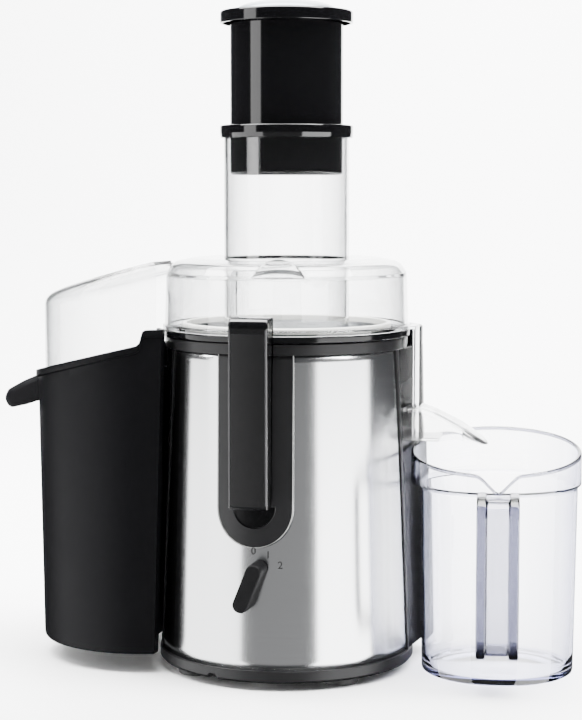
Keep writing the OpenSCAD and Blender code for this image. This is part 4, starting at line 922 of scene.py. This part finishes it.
# Lacquered ABS: pale silver, with fine flakes under a clear coat
silver_lacquer, tree, surface = material("silver_lacquer")
flake = add(tree, "TexVoronoi", Vector=object_place(tree), Scale=3000.0)
tone = blend(tree, flake.outputs["Color"], colour("#8b9196"), colour("#a6acb1"))
principled(
    tree, surface, Base_Color=tone, Metallic=0.35, Roughness=0.38,
    Coat_Weight=0.4, Coat_Roughness=0.12,
)
cap_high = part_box("pusher_cap")[1].z * 1000
dome = np.linspace(0, math.pi / 2, 24)[:-1]
cap = np.stack([33.2 * np.sin(dome), p1 + (cap_high - p1) * np.cos(dome) ** 0.9], -1)
profile = np.array(
    [(0.01, p1 - 5.9), *cap, (33.2, p1 + 0.02), (35.2, p1 + 0.02), (35.2, p1 - 5.9)]
)
solid("pusher_cap", [turned(profile)], silver_lacquer, body="pusher")


# ---- Pulp bin ----
# A PP moulding that hangs on the housing: round outside, hollowed beside the body, with
# a sloping rim, an ear beside the hood and a lip for the fingers on the left.
CLEAR_TOP, CLEAR_BOTTOM = BODY_TOP + 6.6, BODY_BOTTOM + 6.6
BIN_Z0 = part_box("pulp_bin")[0].z * 1000


N_OUT, N_IN = 150, 70  # points outside and beside the body


def bin_loop(z, inset):
    """Plan of the bin at height z: the outer circle, and the arc that keeps clear of the body."""
    f = (z - BIN_Z0) / (247 - BIN_Z0)
    r = 72 + 3.4 * f - inset
    clear = up_body(CLEAR_BOTTOM, CLEAR_TOP, z) + inset
    end = np.interp(z, [0, 220, 400], [70, 63, 63]) + inset
    # where the end line cuts the outer circle and the inner arc
    y_out = math.sqrt(r**2 - (BIN_C - end) ** 2)
    y_in = math.sqrt(clear**2 - end**2)
    a = math.atan2(y_out, BIN_C - end)
    t = np.linspace(a, 2 * math.pi - a, N_OUT)
    outside = np.stack([-BIN_C + r * np.cos(t), r * np.sin(t)], -1)
    b = math.atan2(y_in, end)
    t = np.linspace(-b, b, N_IN)
    inside = np.stack([-clear * np.cos(t), clear * np.sin(t)], -1)
    return np.concatenate([outside, inside])


def bin_rim(x):
    """Height of the rim: a slope that falls to the left, with an ear beside the housing."""
    ear = 1 / (1 + np.exp(-(x + 75.5) / 0.5))
    return (220 + SLOPE * (x + 63)) * (1 - ear) + 226.8 * ear


def bin_wall(inset, levels, lower):
    """Stacked plans, each an even blend of a low and a high one; the top row follows the rim."""
    rim_z = bin_rim(bin_loop(205, inset)[:, 0])
    low_loop, high_loop = bin_loop(lower, inset), bin_loop(226, inset)
    rows = []
    for s in levels:
        z = lower * (1 - s) + rim_z * s
        f = ((z - lower) / (226 - lower))[:, None]
        loop = low_loop * (1 - f) + high_loop * f
        rows.append(at_height(loop, z))
    return rows


def bin_floor(plan, steps):
    """Rows of a floor: the plan drawn in about a point, by (share of its size, height)."""
    centre = np.array([-BIN_C - 8, 0.0])
    return [at_height(centre + (plan - centre) * f, z) for f, z in steps]


outer_rows = bin_wall(0.0, np.linspace(0, 1, 36), BIN_Z0 + 3)[:-1]
floor_rows = bin_floor(
    bin_loop(BIN_Z0, 0),
    ((0.02, BIN_Z0), (0.5, BIN_Z0), (0.9, BIN_Z0), (0.985, BIN_Z0 + 0.3), (0.997, BIN_Z0 + 1.4)),
)
# band: the rim's thicker edge, on the outside only
band = []
for depth, out in ((5.0, 0.0), (4.4, 0.9), (3.6, 1.15), (0.6, 1.15), (0.15, 0.95), (0.0, 0.5)):
    top = bin_loop(220, -out)
    top[N_OUT:] = bin_loop(220, 0)[N_OUT:]
    band.append(at_height(top, bin_rim(bin_loop(220, 0)[:, 0]) - depth))
keep = [np.where(r[:, 2:] > band[0][:, 2:], band[0], r) for r in outer_rows]
inner_rows = bin_wall(2.0, np.linspace(1, 0, 30), BIN_Z0 + 2.5)
inner_floor = bin_floor(bin_loop(BIN_Z0 + 2, 2.0), [(f, BIN_Z0 + 2) for f in (0.98, 0.5, 0.02)])
grid = np.stack(floor_rows + keep + band + inner_rows + inner_floor, 1)
solid(
    "pulp_bin", [(about_z(grid, BIN_TURN), True, False)], satin_black_pp,
    body="bin", fill=True, sharp=38,
)

# lip: a tongue with a blunt rounded end that stands out at the left and turns down at its tip
root = BIN_C + 71.0
lip = rounded(
    [
        (-root, 192.3, 0), (-root - 15, 186.0, 12), (-root - 26.6, 179.6, 5),
        (-root - 29.6, 173.5, 5), (-root - 26.0, 166.5, 4.5), (-root - 13, 169.6, 10),
        (-root, 173.9, 0),
    ],
    steps=6,
)
half_lip, corner = 29.8, 6.0
y = half_lip * np.sin(np.linspace(-math.pi / 2, math.pi / 2, 61))[:, None]
over = np.clip(np.abs(y) - (half_lip - corner), 0, corner)
drawn_in = corner - np.sqrt(np.maximum(corner**2 - over**2, 0)) + 101.8 - np.sqrt(101.8**2 - y**2)
reach = (-root - lip[None, :, 0]) / 29.6
x = lip[None, :, 0] + drawn_in * reach + (75 - np.sqrt(75**2 - y**2)) * (1 - reach)
z = 181 - 9 * reach + (lip[None, :, 1] - 181 + 9 * reach) * (1 - 0.30 * (over / corner) ** 3)
grid = np.stack([x, np.broadcast_to(y, x.shape), z], -1)
solid(
    "bin_lip", [(about_z(grid, BIN_TURN), False, True)], satin_black_pp,
    body="bin", fill=True,
)


# ---- Juice spout ----
# Clear SAN: a back plate that fits against the housing and a trough that narrows to a
# tip over the jug.
spout_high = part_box("juice_spout")[1] * 1000
tip_x = spout_high.x / math.cos(SPOUT_TURN) - 0.3
xs = 70 + (tip_x - 70) * np.sin(np.linspace(0, math.pi / 2, 60))
half_w = np.sqrt(np.maximum(15.9**2 - np.maximum(xs - (tip_x - 15.9), 0) ** 2, 0))
roof_at = [(70, 175.8), (91.4, 175.8), (100, 172.8), (117, 164.2), (129.5, 155.4), (tip_x, 151.2)]
edge_at = [(70, 153.1), (103.5, 153.1), (115, 154.9), (131, 151.3), (tip_x, 150.2)]
roof_z, edge_z = np.interp(xs, *zip(*roof_at)), np.interp(xs, *zip(*edge_at))
# roof and sides: an arch-shaped section with rounded shoulders, open below
a = np.linspace(0, math.pi, 40)


def spout_skin(inset):
    """The arch at each place along the spout, from its left lower edge over to its right one."""
    w = np.maximum(half_w - inset, 0.05)[:, None]
    rise = np.maximum(roof_z - edge_z - inset, 0.05)[:, None]
    across = -w * np.sign(np.cos(a)) * np.abs(np.cos(a)) ** 0.42
    up = edge_z[:, None] + rise * np.abs(np.sin(a)) ** 0.55
    x = np.broadcast_to((xs - inset * (xs > 120))[:, None], up.shape)
    return np.stack([x, across, up], -1)


channel_grid = np.concatenate([spout_skin(0.0), spout_skin(2.1)[:, ::-1]], 1)
# floor of the trough, up to its mouth over the jug
floor_x = np.linspace(70, 103.5, 12)[:, None]
floor_loop = rounded(
    [(-15.7, 153.1, 0.6), (15.7, 153.1, 0.6), (15.7, 155.2, 0.3), (-15.7, 155.2, 0.3)], steps=3
)
floor_grid = np.stack(np.broadcast_arrays(floor_x, *floor_loop.T), -1)
parts = [(about_z(part, SPOUT_TURN), False, True) for part in (channel_grid, floor_grid)]
solid("juice_spout", parts, cloudy_san, fill=True)
# plate: curved about the motor's axis, from the trough up to a ledge under the lid's flange
PLATE_IN, PLATE_OUT, LEDGE_IN, ledge_top = 86.7, 88.5, 83.0, f1 - 0.1
plate = rounded(
    [
        (PLATE_IN, 153.2, 0.3), (PLATE_OUT, 153.2, 0.6), (PLATE_OUT, ledge_top, 0.6),
        (LEDGE_IN, ledge_top, 0.3), (LEDGE_IN, ledge_top - 1.8, 0.3),
        (PLATE_IN, ledge_top - 1.8, 0.8),
    ],
    steps=3,
)
side_y = np.linspace(-12.9, 12.9, 24)[:, None]
plate_x = np.sqrt(plate[None, :, 0] ** 2 - side_y**2)
grid = np.stack(np.broadcast_arrays(plate_x, side_y, plate[None, :, 1]), -1)
solid("spout_plate", [(about_z(grid, SPOUT_TURN), False, True)], clear_san, fill=True)


# ---- Juice jug ----
# A clear SAN jug of about a litre: a step under the rim, a thick foot, a rim that rises
# to the pouring side and a channel-shaped handle.
clear_blue_san = clear_plastic("clear_blue_san", "#3f4888", body="#9296cc", density=28.0)
# the rim's bead and the handle's rails: the same plastic with twenty times its absorption and a
# darker edge tint, so they come out dark blue; this is the tint of thick plastic deepened by
# painted shade
shaded_thick_blue_san = clear_plastic("shaded_thick_blue_san", "#30365e", body="#66688f", density=560.0)
JUG = np.array([142.0 * math.cos(SPOUT_TURN), 142.0 * math.sin(SPOUT_TURN), 0.0])
HANDLE = math.radians(8.5)
to_handle = np.array([math.sin(HANDLE), -math.cos(HANDLE)])
around = np.linspace(0, 2 * math.pi, 240, endpoint=False)
facing = np.stack([np.sin(around), -np.cos(around)], -1)
# the rim stands off its own centre a little, towards the spout
off = -1.7 * np.array([math.cos(SPOUT_TURN), math.sin(SPOUT_TURN)])
rim_reach = facing @ off + np.sqrt((facing @ off) ** 2 - off @ off + 55.9**2)
sideways = rim_reach * (facing @ np.array([math.cos(HANDLE), math.sin(HANDLE)]))
rim_h = 146.4 - math.tan(math.radians(8.9)) * rim_reach * (facing @ to_handle)
in_front = facing @ to_handle > 0
notch = np.where(in_front, np.sqrt(sideways**2 + 1.5), 99) + 125.2
# a soft minimum rounds the corners of the notch
rim_h = -1.2 * np.log(np.exp(-rim_h / 1.2) + np.exp(-np.minimum(notch, 200) / 1.2))
step_h = 122.6


def jug_row(r, z):
    """A ring of the jug: radius and height may change around it."""
    return at_height(facing * np.broadcast_to(r, around.shape)[:, None], z)


def jug_wall(inset, low, high, count):
    """Rows of the wall under the step: it opens out evenly from the foot."""
    levels = np.linspace(low, high, count)
    return [jug_row(50 + 1.9 * (z - low) / (high - low) - inset, z) for z in levels]


def rim_wall(inset, above_step, shares):
    """Rows of the wall over the step, by their share of the way up to the rim."""
    low = step_h + above_step
    return [jug_row(rim_reach - inset, low + (rim_h - 1.0 - low) * f) for f in shares]


# across the step: (share of the way out, height over the step)
step_rows = [(0.0, -0.6), (0.06, 0.1), (0.25, 0.75), (0.75, 1.6), (0.95, 2.2), (1.0, 3.0)]
foot = [(0.01, 0.4), (44, 0.4), (45, 0.05), (48.5, 0.05), (49.6, 0.7)]
rows = [jug_row(r, z) for r, z in foot]
rows += jug_wall(0.0, 2.0, step_h - 1.4, 16)
rows += [jug_row(51.9 + (rim_reach - 51.9) * f, step_h + z) for f, z in step_rows]
rows += rim_wall(0.0, 3, (0.3, 0.6, 0.85, 1.0))
rim_round = [(0.35, 0.6), (1.1, 0.3), (1.95, 0.6), (2.2, 1.0)]
rows += [jug_row(rim_reach - d, rim_h - z) for d, z in rim_round]
rows += rim_wall(2.2, 4.2, (0.85, 0.6, 0.3))
rows += [jug_row(49.7 + (rim_reach - 51.9) * f, step_h + 1.2 + z) for f, z in step_rows[::-1]]
rows += jug_wall(2.2, 6.0, step_h - 0.4, 16)[::-1]
rows += [jug_row(r, z) for r, z in ((47.0, 4.6), (45.0, 4.05), (20, 4.0), (0.01, 4.0))]
grid = np.stack(rows, 1) + JUG
solid("jug_body", [(grid, True, False)], clear_blue_san, body="jug", weld=2e-5)

# bead: a rounded edge 2.4 mm thick that follows the rim and its notch
bead = np.linspace(0, 2 * math.pi, 16, endpoint=False)
rows = [jug_row(rim_reach - 1.2 + 1.2 * math.cos(v), rim_h - 1.2 + 1.2 * math.sin(v)) for v in bead]
solid("jug_rim", [(np.stack(rows, 1) + JUG, True, True)], shaded_thick_blue_san, body="jug")

# handle: a strap from under the notch down to the foot, two thick rails with a thin web
top = min(bottom_top(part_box("jug_handle"))[1], 126.0)
corners = rounded(
    [(50.2, top - 2.6, 0), (78.4, top - 2.6, 11), (78.4, 24.6, 11), (50.2, 24.6, 0)],
    closed=False, steps=12,
)
length = np.concatenate([[0], np.cumsum(np.linalg.norm(np.diff(corners, axis=0), axis=1))])
even = np.union1d(length, np.linspace(0, length[-1], 60))
path = np.stack([np.interp(even, length, c) for c in corners.T], -1)
path = path[np.concatenate([[True], np.diff(even) > 0.05])]
ahead = np.gradient(path, axis=0)
ahead /= np.linalg.norm(ahead, axis=1, keepdims=True)
side = np.stack([-ahead[:, 1], ahead[:, 0]], -1)
strap = rounded(
    [
        (-13.4, -2.5, 0.8), (-13.4, 2.5, 1.2), (-7.6, 2.5, 1.2), (-6.6, 0.2, 0.8),
        (6.6, 0.2, 0.8), (7.6, 2.5, 1.2), (13.4, 2.5, 1.2), (13.4, -2.5, 0.8),
        (8.0, -2.5, 0.8), (7.4, -1.6, 0.4), (-7.4, -1.6, 0.4), (-8.0, -2.5, 0.8),
    ],
    steps=3,
)
spot = path[:, None, :] + side[:, None, :] * strap[None, :, 1:2]
grid = np.stack(np.broadcast_arrays(strap[None, :, 0], -spot[..., 0], spot[..., 1]), -1)
grid = about_z(grid, HANDLE) + JUG
solid("jug_handle", [(grid, False, True)], shaded_thick_blue_san, body="jug", fill=True)
